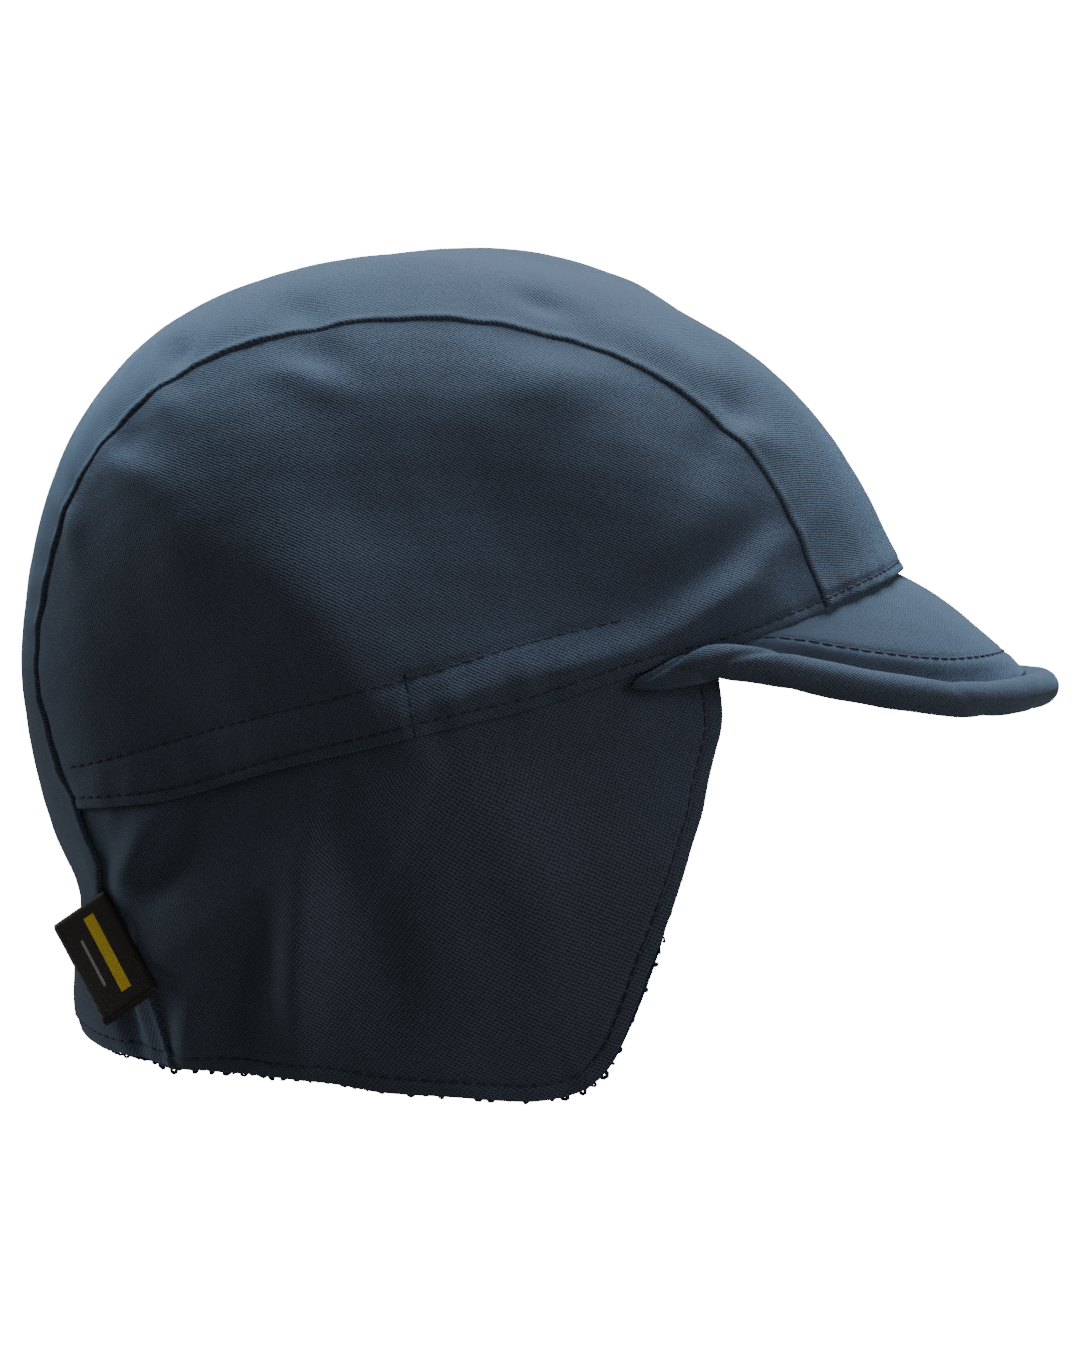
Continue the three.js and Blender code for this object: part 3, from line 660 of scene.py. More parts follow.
# %% From a sheet of points to a closed wall
CELL = 1.25
ROLL_STEPS = np.array([0, 0.1, 0.3, 0.6, 1, 1.4, 1.8, 2.3, 2.8, 3.4, 4, 4.5, 5])


def spaced(length, cell=CELL):
    """Places from 0 to 1 along `length` mm: a cell apart, and closer at both rolled ends."""
    count = max(2, round((length - 2 * ROLL_STEPS[-1]) / cell))
    middle = np.linspace(ROLL_STEPS[-1], length - ROLL_STEPS[-1], count + 1)[1:-1]
    return np.concatenate([ROLL_STEPS, middle, length - ROLL_STEPS[::-1]]) / length


def spread(size, cell=CELL):
    """The places along both sides of a sheet."""
    return spaced(size[0], cell), spaced(size[1], cell)


def border_distance(points):
    """How far every point of a grid is from the grid's nearest border, along the grid."""
    nearest = np.full(points.shape[:-1], np.inf)
    for axis in (0, 1):
        steps = np.linalg.norm(np.diff(points, axis=axis), axis=-1)
        reach = np.insert(np.cumsum(steps, axis=axis), 0, 0, axis=axis)
        whole = np.take(reach, [-1], axis=axis)
        nearest = np.minimum(nearest, np.minimum(reach, whole - reach))
    return nearest


def wall_faces(columns, rows):
    grid = np.arange(columns * rows).reshape(columns, rows)
    quads = np.stack([grid[:-1, :-1], grid[1:, :-1], grid[1:, 1:], grid[:-1, 1:]], -1).reshape(-1, 4)
    rim = np.concatenate([grid[:-1, 0], grid[-1, :-1], grid[:0:-1, -1], grid[0, :0:-1]])
    ahead = np.roll(rim, -1)
    under = columns * rows
    sides = np.stack([ahead, rim, rim + under, ahead + under], -1)
    return np.concatenate([quads, quads[:, ::-1] + under, sides])


def make_mesh(name, points, faces, cloth_uv, material):
    """A smooth mesh object from points in millimetres, with its UV map in millimetres too."""
    halves = [[0, 1, 2]] if faces.shape[1] == 3 else [[0, 1, 2], [0, 2, 3]]
    corners = points[faces[:, halves]].reshape(-1, 3, 3)
    # a negative volume means that the faces point inwards
    if np.einsum("ij,ij->", corners[:, 0], np.cross(corners[:, 1], corners[:, 2])) < 0:
        faces = faces[:, ::-1]
    mesh = bpy.data.meshes.new(name)
    mesh.from_pydata((points * MM).tolist(), [], faces.tolist())
    mesh.uv_layers.new(name="cloth").data.foreach_set("uv", cloth_uv[faces.ravel()].ravel())
    mesh.polygons.foreach_set("use_smooth", np.ones(len(faces), bool))
    mesh.materials.append(material)
    piece = bpy.data.objects.new(name, mesh)
    bpy.context.collection.objects.link(piece)
    return piece


def make_wall(name, surface, normals, thickness, cloth_uv, material):
    """A closed wall under a grid of surface points, with rolled borders."""
    half = thickness / 2
    near_edge = np.clip(border_distance(surface) / half, 0, 1)
    bulge = half * np.sqrt(1 - (1 - near_edge) ** 2)[..., None] + 0.01
    middle = surface - half * normals
    points = np.stack([middle + bulge * normals, middle - bulge * normals]).reshape(-1, 3)
    uv = np.tile(cloth_uv.reshape(-1, 2), (2, 1))
    return make_mesh(name, points, wall_faces(*surface.shape[:2]), uv, material)


def dress(piece, node):
    """The piece stands for its CAD node and moves with the cap's one body."""
    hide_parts(node)
    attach(piece, "root")
    print(node, "faces:", len(piece.data.polygons))


# %% [markdown]
# ## The strip over the crown
# The strip is a long band, wider over the brow and the nape than halfway down the back. Its
# long edges are folded under and sewn from inside, so it lies a little over the side panels and
# shows no stitches there. Its grid runs from the peak to the hem, and the threads run with it.

# %% The strip
CLOTH = 1.6
LAYER_GAP = 0.4
STRIP_LIFT = 0.4
FLAP_LIFT = -0.7
OVERHANG = 0.8
TUCK = 2.2
# each sheet's length and width, in millimetres along the cloth
STRIP_SIZE = (405, 96)
PANEL_SIZE = (205, 118)
FLAP_SIZE = (165, 105)
NAPE_SIZE = (60, 100)
PEAK_SIZE = (225, 38)


def strip_grid(u, v, clear):
    """Points of the strip: u runs from the peak to the hem and v from right to left."""
    across = (2 * v - 1)[None, :]
    angle = PEAK_SEAM_ANGLE + u[:, None] * (hem_angle(across) - PEAK_SEAM_ANGLE)
    return ring_points(angle, across * (strip_half_width(angle) - clear))


def lay_cloth(points, relief, lift):
    """Points of the form moved out to the face of the cloth."""
    normals = form_normals(points)
    return points + normals * (relief + lift)[..., None], normals


def make_strip():
    u, v = spread(STRIP_SIZE)
    form = strip_grid(u, v, -OVERHANG)
    face, normals = lay_cloth(form, strip_relief(form), STRIP_LIFT)
    half_width = strip_half_width(angle_of(form[..., 0], form[..., 2]) % 360)
    along = np.broadcast_to(u[:, None] * STRIP_SIZE[0], half_width.shape)
    uv = np.stack([2 * (v - 0.5) * half_width, along], -1)
    return make_wall("strip_over_crown", face, normals, CLOTH - 0.3, uv, canvas)


dress(make_strip(), "crown_strip")

# %% [markdown]
# ## Side panels and ear flaps
# A side panel is a half moon that fits between the strip and the band seam, and the flap
# carries on below it. Both are four-sided patches between curves. The curves are laid out on a
# flat disc first, with the ear in the middle, because the form turns edge-on at its outline
# when it is seen from the side, and the cells would be squashed there.

# %% Patches on a disc
# the length along the cloth from the ear to the outline, for the UV map
DISC_REACH = 158
PANEL_CORNER_ANGLES = (150, 52)
# the share of the band seam by which panels and flaps run on past its ends, under the strip
BAND_EXTRA = 0.011
# how far the pile reaches past the flap's free edge, by the angle round the ear
PILE_PEEP = table("angle reach", [
    (-130, 1.2), (-118, 1.1), (-104, 0.3), (-75, 0.4), (-63, 1.2), (-50, 1.4), (-43, 0.6),
    (-34, -0.8), (4, -0.8),
])
pile_peep = smooth(PILE_PEEP["angle"], PILE_PEEP["reach"])


def to_disc(place):
    angle = angle_of(place[..., 0], place[..., 1])
    share = np.minimum(1, np.hypot(place[..., 0], place[..., 1]) / outline_radius(angle))
    return polar(angle, np.arcsin(share) / (np.pi / 2))


def from_disc(spot, side):
    angle = angle_of(spot[..., 0], spot[..., 1])
    share = np.sin(np.pi / 2 * np.minimum(1, np.hypot(spot[..., 0], spot[..., 1])))
    place = polar(angle, outline_radius(angle) * share)
    return form_points(place[..., 0], place[..., 1], side)


def patch(u, v, bottom, top, left, right):
    """A grid on the disc between four curves, which are functions from 0 to 1."""
    def bulge(edge):
        ends = edge(np.array([0.0, 1.0]))
        return edge(v) - ends[0] - v[:, None] * (ends[1] - ends[0])

    low, high = bottom(u)[:, None], top(u)[:, None]
    straight = low + v[None, :, None] * (high - low)
    to_right = u[:, None, None]
    return straight + bulge(left)[None] * (1 - to_right) + bulge(right)[None] * to_right


def seam_on_disc(start, end):
    return lambda t: to_disc(seam_place(start + t * (end - start), -TUCK))


def flap_edge_on_disc(start, end, beyond=0):
    def place(t):
        angle = start + t * (end - start)
        return to_disc(polar(angle, flap_edge_radius(angle) + beyond * pile_peep(angle)))

    return place


def panel_patch(u, v):
    return patch(
        u, v, lambda t: to_disc(band_place((1 + 2 * BAND_EXTRA) * t - BAND_EXTRA, -OVERHANG)),
        seam_on_disc(*PANEL_CORNER_ANGLES), seam_on_disc(BAND_END_ANGLE, PANEL_CORNER_ANGLES[0]),
        seam_on_disc(PEAK_SEAM_ANGLE, PANEL_CORNER_ANGLES[1]))


def flap_patch(u, v, beyond=0):
    """The flap; with `beyond` at 1 its free edge is where the pile's is."""
    return patch(
        u, v, flap_edge_on_disc(flap_rows[0, 0], FLAP_CORNER_ANGLE, beyond),
        lambda t: to_disc(band_place((FLAP_SHARE + BAND_EXTRA) * t - BAND_EXTRA, TUCK)),
        seam_on_disc(HEM_CORNER_ANGLE, BAND_END_ANGLE),
        flap_edge_on_disc(FLAP_CORNER_ANGLE, flap_rows[-1, 0], beyond))


# %% The panels and the flaps
def make_patch_piece(name, spots, side, relief, lift):
    points = from_disc(spots, side)
    face, normals = lay_cloth(points, relief(points, side), lift)
    return make_wall(name, face, normals, CLOTH, spots * DISC_REACH, canvas)


panel_spots = panel_patch(*spread(PANEL_SIZE))
flap_spots = flap_patch(*spread(FLAP_SIZE))
for word, side in SIDE_OF.items():
    panel = make_patch_piece(f"{word}_side_panel", panel_spots, side, panel_relief, 0)
    dress(panel, f"side_panel_{word}")
    flap = make_patch_piece(f"{word}_ear_flap", flap_spots, side, flap_relief, FLAP_LIFT)
    dress(flap, f"ear_flap_{word}")

# %% [markdown]
# ## The peak
# The peak is a crescent of padded canvas. Its edge is folded over a cord into a thick roll,
# which runs back past the peak's ends and tucks in over the band seam. The roll is a tube along
# a centre line, and the top is a ruled sheet from the crown's seam to the flank of the roll.

# %% The roll's centre line and the peak's sections
PEAK_REACH_Y = 73
PEAK_SPAN_ANGLE = 70
PEAK_FACE_WIDTH = 36
PEAK_CLOTH = 2.6
PEAK_CROWN = 1.3
PEAK_PILE_BASE = 1.2
RIM_START_X = 43
RIM_FRONT_X = 146.5
RIM_HALF_WIDTH = 82.4
RIM_PEAK_ANGLE = 12
RIM_GAP = 0.3
RIM = table("x z radius fullness", [
    (43, 14.1, 0.9, 0.7), (46, 14.9, 1.9, 0.55), (50, 15.8, 2.9, 0.55), (57, 18.5, 4.2, 0.7),
    (63, 19.6, 4.5, 0.85), (70, 19.3, 4.4, 0.95), (79, 17.7, 4.3, 1), (93, 14.5, 4.3, 1),
    (108, 11.6, 4.3, 1), (122, 9.4, 4.3, 1), (134, 9.1, 4.3, 1), (146.5, 9.9, 4.3, 1),
])
rim_height = smooth(RIM["x"], RIM["z"])
rim_radius = smooth(RIM["x"], RIM["radius"])
rim_fullness = smooth(RIM["x"], RIM["fullness"])


def rim_centre(turn):
    """The roll's centre line: `turn` is 0 at the right end, 90 in front and 180 at the left."""
    x = RIM_START_X + (RIM_FRONT_X - RIM_START_X) * np.sin(np.radians(turn))
    return np.stack([x, -RIM_HALF_WIDTH * np.cos(np.radians(turn)), rim_height(x)], -1)


def rim_frame(turn):
    ahead = unit(rim_centre(np.minimum(180, turn + 0.5)) - rim_centre(np.maximum(0, turn - 0.5)))
    out = unit(np.cross(ahead, [0, 0, 1]))
    return ahead, out, np.cross(out, ahead)


def peak_sections(u):
    """For u from 0 at the right end to 1: the seam, the roll, its reach, and out and up."""
    span = np.radians(PEAK_SPAN_ANGLE)
    y = PEAK_REACH_Y * np.sin(span * (2 * u - 1)) / np.sin(span)
    on_form = ring_points(PEAK_SEAM_ANGLE, y)
    seam = on_form + FLAP_LIFT * form_normals(on_form) - [0, 0, 0.5]
    turn = RIM_PEAK_ANGLE + u * (180 - 2 * RIM_PEAK_ANGLE)
    rim = rim_centre(turn)
    out = unit(rim - seam)
    up = np.cross(out, rim_frame(turn)[0])
    reach = (rim_radius(rim[..., 0]) + RIM_GAP) / np.linalg.norm(up, axis=-1)
    return seam, rim, reach, out, unit(up)


# %% The peak's top
# how far each row of stitches is from the roll, and the ditch that the roll stands in
PEAK_ROWS = (8.6, 1.2)
DITCH_DEPTH = 3.2
DITCH_WIDTH = 4.6
# the shares by which the face runs on past the peak's ends and in under the crown's front seam
PAST_ENDS = 0.02
UNDER_SEAM = 0.05


def peak_ditch(u, off):
    """How deep the ditch is; it is shallow at the peak's middle."""
    return DITCH_DEPTH * (1 - 0.75 * groove(u - 0.5, 0.13)) * soft_step(off, DITCH_WIDTH, 1.1)


def peak_face(u, v):
    """The peak's upper face: v runs from the seam to the roll."""
    seam, rim, reach, out, up = peak_sections(u)
    end = rim - out * reach[..., None] + up * PEAK_CLOTH / 2
    face = seam + v[..., None] * (end - seam)
    off = (1 - v) * np.linalg.norm(end - seam, axis=-1)
    dip = peak_ditch(u, off)
    rise = PEAK_CROWN * np.sin(np.pi * np.abs(v) ** 0.7) - dip
    rise += 0.3 * waves(face, 24, 41) + 0.12 * waves(face, 9, 42)
    for row in PEAK_ROWS:
        rise -= STITCH_PULL * groove(off - row, 0.9)
    # where the face dips, it runs on to the roll's flank, which curves away from it
    radius = rim_radius(rim[..., 0])
    tuck = 0.1 + radius - np.sqrt(np.maximum(radius**2 - dip**2, 0))
    return face + up * rise[..., None] + out * tuck[..., None], up


def peak_row(inset):
    """A line on the peak's face that keeps its distance from the roll."""
    u = np.linspace(0.01, 0.99, 700)
    seam, rim, reach, out, up = peak_sections(u)
    v = 1 - inset / (np.linalg.norm(rim - seam, axis=-1) - reach)
    shows = v > 0.03
    return peak_face(u[shows], v[shows])


def make_peak():
    u = (1 + 2 * PAST_ENDS) * spaced(PEAK_SIZE[0]) - PAST_ENDS
    v = (1 + UNDER_SEAM) * spaced(PEAK_SIZE[1], 1.0) - UNDER_SEAM
    u, v = np.meshgrid(u, v, indexing="ij")
    face, ups = peak_face(u, v)
    uv = np.stack([u * PEAK_SIZE[0], v * PEAK_FACE_WIDTH], -1)
    return make_wall("peak_upper", face, ups, PEAK_CLOTH, uv, canvas)


dress(make_peak(), "peak_top")

# %% [markdown]
# ### The rolled edge
# Canvas that is pulled round a cord on a curve can't lie smooth: it has shallow hollows and,
# where the roll tucks in at its ends, slanting creases. They are worked into the tube's radius.

# %% The roll
RIM_CREASES = table("turn round slant width depth", [
    (5, 60, 1.4, 9, 0.26), (10, 120, 1.2, 8, 0.2), (15, 40, 1.6, 10, 0.13), (21, 100, 1.5, 9, 0.08),
    (52, 150, 1.2, 12, 0.05), (74, 60, 1.0, 12, 0.05), (118, 80, -1.2, 12, 0.06),
    (159, 100, -1.5, 9, 0.08), (165, 40, -1.6, 10, 0.12), (170, 120, -1.2, 8, 0.13),
    (175, 60, -1.4, 9, 0.16),
])
CREASE_WIDTH = 2.4
ROLL_LENGTH = 370
ROLL_GIRTH = 27
ROLL_SIDES = 40
# millimetres along the roll for each degree of its centre line
ROLL_PER_DEGREE = 1.6


def crease_share(turn, around):
    """The share of the roll's radius that the creases take away."""
    share = np.zeros(turn.shape)
    for at, centre, slant, width, depth in zip(*RIM_CREASES.values()):
        off = (turn - at) * ROLL_PER_DEGREE - slant * 6 * np.sin(np.radians(around - centre))
        share += depth * groove(off, CREASE_WIDTH) * groove(turn - at, width)
    return share


def rim_points(turn, around):
    """The roll's surface: `around` is 0 on its outer flank and 90 on top."""
    centre = rim_centre(turn)
    _, out, up = rim_frame(turn)
    flat = rim_fullness(centre[..., 0]) * np.cos(np.radians(around))
    way = out * flat[..., None] + up * np.sin(np.radians(around))[..., None]
    to_end = np.clip(1.2 * np.minimum(turn, 180 - turn), 0, 1)
    radius = rim_radius(centre[..., 0]) * (1 - crease_share(turn, around))
    radius = (radius + 0.18 * waves(centre + way * 4, 15, 51)) * np.sqrt(1 - (1 - to_end) ** 2)
    return centre + way * radius[..., None]


def roll_faces(steps):
    """Triangles of the tube, closed at both ends by fans round a point of their own."""
    grid = np.arange(steps * ROLL_SIDES).reshape(steps, ROLL_SIDES)
    ahead = np.roll(grid, -1, axis=1)
    quads = np.stack([grid[:-1], ahead[:-1], ahead[1:], grid[1:]], -1).reshape(-1, 4)
    start = np.full(ROLL_SIDES, steps * ROLL_SIDES)
    fans = [np.stack([start, ahead[0], grid[0]], -1), np.stack([start + 1, grid[-1], ahead[-1]], -1)]
    return np.concatenate([quads[:, [0, 1, 2]], quads[:, [0, 2, 3]], *fans])


def make_roll():
    around = np.arange(ROLL_SIDES) * 360 / ROLL_SIDES
    turn, around = np.meshgrid(180 * spaced(ROLL_LENGTH), around, indexing="ij")
    turn = np.clip(turn, 0.01, 179.99)
    ends = rim_centre(np.array([0.0, 180.0]))
    points = np.concatenate([rim_points(turn, around).reshape(-1, 3), ends])
    uv = np.stack([turn * ROLL_PER_DEGREE, around / 360 * ROLL_GIRTH], -1).reshape(-1, 2)
    uv = np.concatenate([uv, uv[[0, -1]]])
    return make_mesh("rolled_edge", points, roll_faces(len(turn)), uv, canvas)


dress(make_roll(), "peak_rim")

# %% [markdown]
# ## The pile lining
# Inside the flaps and the nape, and under the peak, the cap is lined with curly pile. Hair
# particles would be heavy, and the export can't keep them. Geometry Nodes scatter small crimped
# curls over a lumpy base instead. They stand on the side that shows and round the borders,
# where they peep out from under the hem.

# %% Helpers for node trees
QUARTER_TURN = 1.5708


def new_tree(name, **kinds):
    """A tree that takes a mesh and the named inputs, each with its kind, and makes a mesh."""
    tree = bpy.data.node_groups.new(name, "GeometryNodeTree")
    for label, kind in {"Geometry": "Geometry", **kinds}.items():
        label = label.replace("_", " ")
        tree.interface.new_socket(label, in_out="INPUT", socket_type=f"NodeSocket{kind}")
    tree.interface.new_socket("Geometry", in_out="OUTPUT", socket_type="NodeSocketGeometry")
    return tree, add_node(tree, "NodeGroupInput").outputs


def attribute(tree, name, data_type):
    kind = "GeometryNodeInputNamedAttribute"
    return add_node(tree, kind, {"Name": name}, data_type=data_type).outputs["Attribute"]


def turned_over(tree, geometry, rotation):
    kind = "GeometryNodeTransform"
    return add_node(tree, kind, {"Geometry": geometry, "Rotation": rotation}).outputs["Geometry"]


def instances_made_real(tree, points, shape, rotation, scale):
    """A smooth copy of the shape on every point."""
    copies = add_node(tree, "GeometryNodeInstanceOnPoints", {
        "Points": points, "Instance": shape, "Rotation": rotation, "Scale": scale})
    real = add_node(tree, "GeometryNodeRealizeInstances", {"Geometry": copies.outputs["Instances"]})
    return add_node(tree, "GeometryNodeSetShadeSmooth", {"Geometry": real.outputs["Geometry"]}).outputs[0]


def finish_tree(tree, geometry, material):
    dyed = add_node(tree, "GeometryNodeSetMaterial", {"Geometry": geometry, "Material": material})
    add_node(tree, "NodeGroupOutput", {"Geometry": dyed.outputs["Geometry"]})
    return tree


# %% A tree that scatters curls
def curl_shape(tree, curl_radius, fibre_radius):
    """One crimped fibre: a thin tube bent round most of a circle that stands upright."""
    arc = add_node(tree, "GeometryNodeCurveArc", {
        "Resolution": 6, "Radius": curl_radius, "Start Angle": -0.9, "Sweep Angle": 4.4})
    fibre = add_node(tree, "GeometryNodeCurvePrimitiveCircle", {"Resolution": 4, "Radius": fibre_radius})
    tube = add_node(tree, "GeometryNodeCurveToMesh", {
        "Curve": arc.outputs["Curve"], "Profile Curve": fibre.outputs["Curve"], "Fill Caps": True})
    return turned_over(tree, tube.outputs["Mesh"], (QUARTER_TURN, 0, 0))


def curl_tree():
    tree, asked = new_tree(
        "curls_of_pile", Spacing="Float", Curl_radius="Float", Fibre_radius="Float", Seed="Int",
        Pile="Material")
    spots = add_node(tree, "GeometryNodeDistributePointsOnFaces", {
        "Mesh": asked["Geometry"], "Distance Min": asked["Spacing"], "Density Max": 400000.0,
        "Density Factor": attribute(tree, "grows", "FLOAT"), "Seed": asked["Seed"]},
        distribute_method="POISSON")
    lean = add_node(tree, "FunctionNodeRandomValue", {
        0: (-0.7, -0.7, 0), 1: (0.7, 0.7, 6.28), "Seed": asked["Seed"]}, data_type="FLOAT_VECTOR")
    turned = add_node(tree, "FunctionNodeRotateRotation", {
        "Rotation": spots.outputs["Rotation"], "Rotate By": lean.outputs[0]}, rotation_space="LOCAL")
    size = add_node(tree, "FunctionNodeRandomValue", {2: 0.7, 3: 1.25, "Seed": asked["Seed"]},
                    data_type="FLOAT")
    curl = curl_shape(tree, asked["Curl radius"], asked["Fibre radius"])
    curls = instances_made_real(
        tree, spots.outputs["Points"], curl, turned.outputs["Rotation"], size.outputs[1])
    both = add_node(tree, "GeometryNodeJoinGeometry")
    tree.links.new(curls, both.inputs["Geometry"])
    tree.links.new(asked["Geometry"], both.inputs["Geometry"])
    return finish_tree(tree, both.outputs["Geometry"], asked["Pile"])


def apply_tree(piece, tree, values):
    """Run a node tree on a piece with its inputs set, and keep the plain mesh that it makes."""
    modifier = piece.modifiers.new(tree.name, "NODES")
    modifier.node_group = tree
    for item in tree.interface.items_tree:
        if item.in_out == "INPUT" and item.name in values:
            modifier[item.identifier] = values[item.name]
    piece.update_tag()
    depsgraph = bpy.context.evaluated_depsgraph_get()
    mesh = bpy.data.meshes.new_from_object(piece.evaluated_get(depsgraph))
    piece.modifiers.remove(modifier)
    piece.data = mesh
    return piece


CURLS = curl_tree()

# %% The linings
# how thick the pile's base is, without its curls
PILE_BASE = 1.8
PILE_CELL = 2
CURL_RADIUS = 0.75
FIBRE_RADIUS = 0.48
LINING_SPACING = 1.9
PEAK_SPACING = 2.2
# how many rows of points the curls reach in from the border, on the covered side
BORDER_ROWS = 8
# where the nape's pile starts and how long it is, as shares of the strip's length
NAPE_START = 0.86
NAPE_SHARE = 0.1435


def grow_pile(piece, shape, spacing, seed):
    """Curls on the wall's inner face and along its border."""
    grows = np.ones((2, *shape), np.float32)
    grows[0, BORDER_ROWS:-BORDER_ROWS, BORDER_ROWS:-BORDER_ROWS] = 0
    piece.data.attributes.new("grows", "FLOAT", "POINT").data.foreach_set("value", grows.ravel())
    return apply_tree(piece, CURLS, {
        "Spacing": spacing * MM, "Curl radius": CURL_RADIUS * MM, "Fibre radius": FIBRE_RADIUS * MM,
        "Seed": seed, "Pile": pile})


def make_lining(name, form, cloth_lift, seed):
    """A lumpy layer of pile under cloth that lies on the form with `cloth_lift`."""
    lumps = 0.3 * waves(form, 4, seed) + 0.3 * waves(form, 9, seed + 1)
    face, normals = lay_cloth(form, fold_heights(form), cloth_lift - CLOTH - LAYER_GAP)
    wall = make_wall(name, face, normals, PILE_BASE, form[..., [0, 2]], pile)
    points = np.array([vertex.co for vertex in wall.data.vertices]).reshape(2, *form.shape)
    points[1] -= normals * (lumps * MM)[..., None]
    wall.data.vertices.foreach_set("co", points.ravel())
    return grow_pile(wall, form.shape[:2], LINING_SPACING, seed)


pile_spots = flap_patch(*spread(FLAP_SIZE, PILE_CELL), beyond=1)
for word, side in SIDE_OF.items():
    lining = make_lining(f"{word}_flap_pile", from_disc(pile_spots, side), FLAP_LIFT, 61 + side)
    dress(lining, f"flap_lining_{word}")

u, v = spread(NAPE_SIZE, PILE_CELL)
nape_form = strip_grid(NAPE_START + NAPE_SHARE * u, v, 0.6)
dress(make_lining("nape_pile", nape_form, STRIP_LIFT, 66), "nape_lining")

# %% The pile under the peak
def make_peak_pile():
    u, v = np.meshgrid(*spread(PEAK_SIZE, PILE_CELL), indexing="ij")
    seam, rim, reach, out, up = peak_sections(u)
    start = seam - up * (PEAK_CLOTH + LAYER_GAP)
    flank = unit(up + (1.2 - 0.7 * np.sin(np.pi * u))[..., None] * out)
    end = rim - flank * (reach + LAYER_GAP)[..., None]
    uv = np.stack([u * PEAK_SIZE[0], v * PEAK_FACE_WIDTH], -1)
    wall = make_wall("peak_pile", start + v[..., None] * (end - start), up, PEAK_PILE_BASE, uv, pile)
    return grow_pile(wall, u.shape, PEAK_SPACING, 71)


dress(make_peak_pile(), "peak_lining")

# %% [markdown]
# ## Topstitching
# Each row of stitches is a thread that dives into the cloth every three millimetres or so. The
# rows could be a texture, but real ones catch the light. A Geometry Nodes tree walks along each
# line, puts a small thread over every step, and lays it flat on the cloth.

# %% A tree that sews along lines
def stitch_shape(tree):
    ball = add_node(tree, "GeometryNodeMeshUVSphere", {"Segments": 8, "Rings": 6, "Radius": 1.0})
    return turned_over(tree, ball.outputs["Mesh"], (0, QUARTER_TURN, 0))


def stitch_tree():
    tree, asked = new_tree(
        "row_of_stitches", Pitch="Float", Stitch_length="Float", Thread_radius="Float",
        Thread="Material")
    line = add_node(tree, "GeometryNodeMeshToCurve", {"Mesh": asked["Geometry"]})
    steps = add_node(tree, "GeometryNodeResampleCurve", {
        "Curve": line.outputs["Curve"], "Length": asked["Pitch"]}, mode="LENGTH")
    tangent = add_node(tree, "GeometryNodeInputTangent").outputs["Tangent"]
    along = add_node(tree, "FunctionNodeAlignRotationToVector", {"Vector": tangent}, axis="X")
    flat = add_node(tree, "FunctionNodeAlignRotationToVector", {
        "Rotation": along.outputs["Rotation"], "Vector": attribute(tree, "lay", "FLOAT_VECTOR")},
        axis="Z", pivot_axis="X")
    size = add_node(tree, "ShaderNodeCombineXYZ", {
        "X": calculate(tree, "MULTIPLY", asked["Stitch length"], 0.5), "Y": asked["Thread radius"],
        "Z": asked["Thread radius"]})
    stitches = instances_made_real(
        tree, steps.outputs["Curve"], stitch_shape(tree), flat.outputs["Rotation"], size.outputs[0])
    return finish_tree(tree, stitches, asked["Thread"])


STITCHES = stitch_tree()
# how far a thread's middle stands above the cloth
THREAD_LIFT = 0.1


def sew(name, rows, pitch=3.3, length=2.8, radius=0.32):
    """Sew along rows of face points, each with the normals that the thread lies on."""
    points = np.concatenate([face + THREAD_LIFT * lay for face, lay in rows])
    normals = np.concatenate([lay for _, lay in rows])
    row_ends = np.cumsum([len(face) for face, _ in rows])
    edges = [(i - 1, i) for i in range(1, len(points)) if i not in row_ends]
    mesh = bpy.data.meshes.new(name)
    mesh.from_pydata((points * MM).tolist(), edges, [])
    mesh.attributes.new("lay", "FLOAT_VECTOR", "POINT").data.foreach_set("vector", normals.ravel())
    piece = bpy.data.objects.new(name, mesh)
    bpy.context.collection.objects.link(piece)
    apply_tree(piece, STITCHES, {
        "Pitch": pitch * MM, "Stitch length": length * MM, "Thread radius": radius * MM,
        "Thread": thread})
    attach(piece, "root")
    print(name, "faces:", len(piece.data.polygons))


# %% Sew the seams
def on_strip(line):
    return lay_cloth(line, strip_relief(line), STRIP_LIFT)


def on_panel(line, side):
    return lay_cloth(line, panel_relief(line, side), 0)


def on_flap(line, side):
    return lay_cloth(line, flap_relief(line, side), FLAP_LIFT)


seam_rows = [on_strip(strip_front(2.6)), on_strip(nape_hem(4))]
for side in (RIGHT, LEFT):
    seam_rows += [on_panel(band_seam(side, 2.1, 0.01, 0.99), side), on_panel(tunnel_line(side), side)]
    seam_rows += [on_panel(tunnel_bar(side), side), on_flap(flap_edge(side, 4.4)[8:-30], side)]
sew("seam_topstitching", seam_rows)
sew("peak_topstitching", [peak_row(inset) for inset in PEAK_ROWS], pitch=3.6, length=3.1, radius=0.38)

# %% [markdown]
# ## The label
# A woven tape is folded in half and caught in the seam at the nape. Its two legs lie close
# together and its fold is soft. A plain bar and a thin line are woven into it in other colours.
# A satin weave shows as fine ribs along the tape.

# %% The tape's material
# what is woven into the tape: from where to where across and along it, and its colour
TAPE_BAR = (5.2, 8.0), (3.5, 26), "#b5a51f"
TAPE_LINE = (10.6, 11.3), (8, 22), "#7c828a"
TAPE_RIBS = (14, 2, 0)


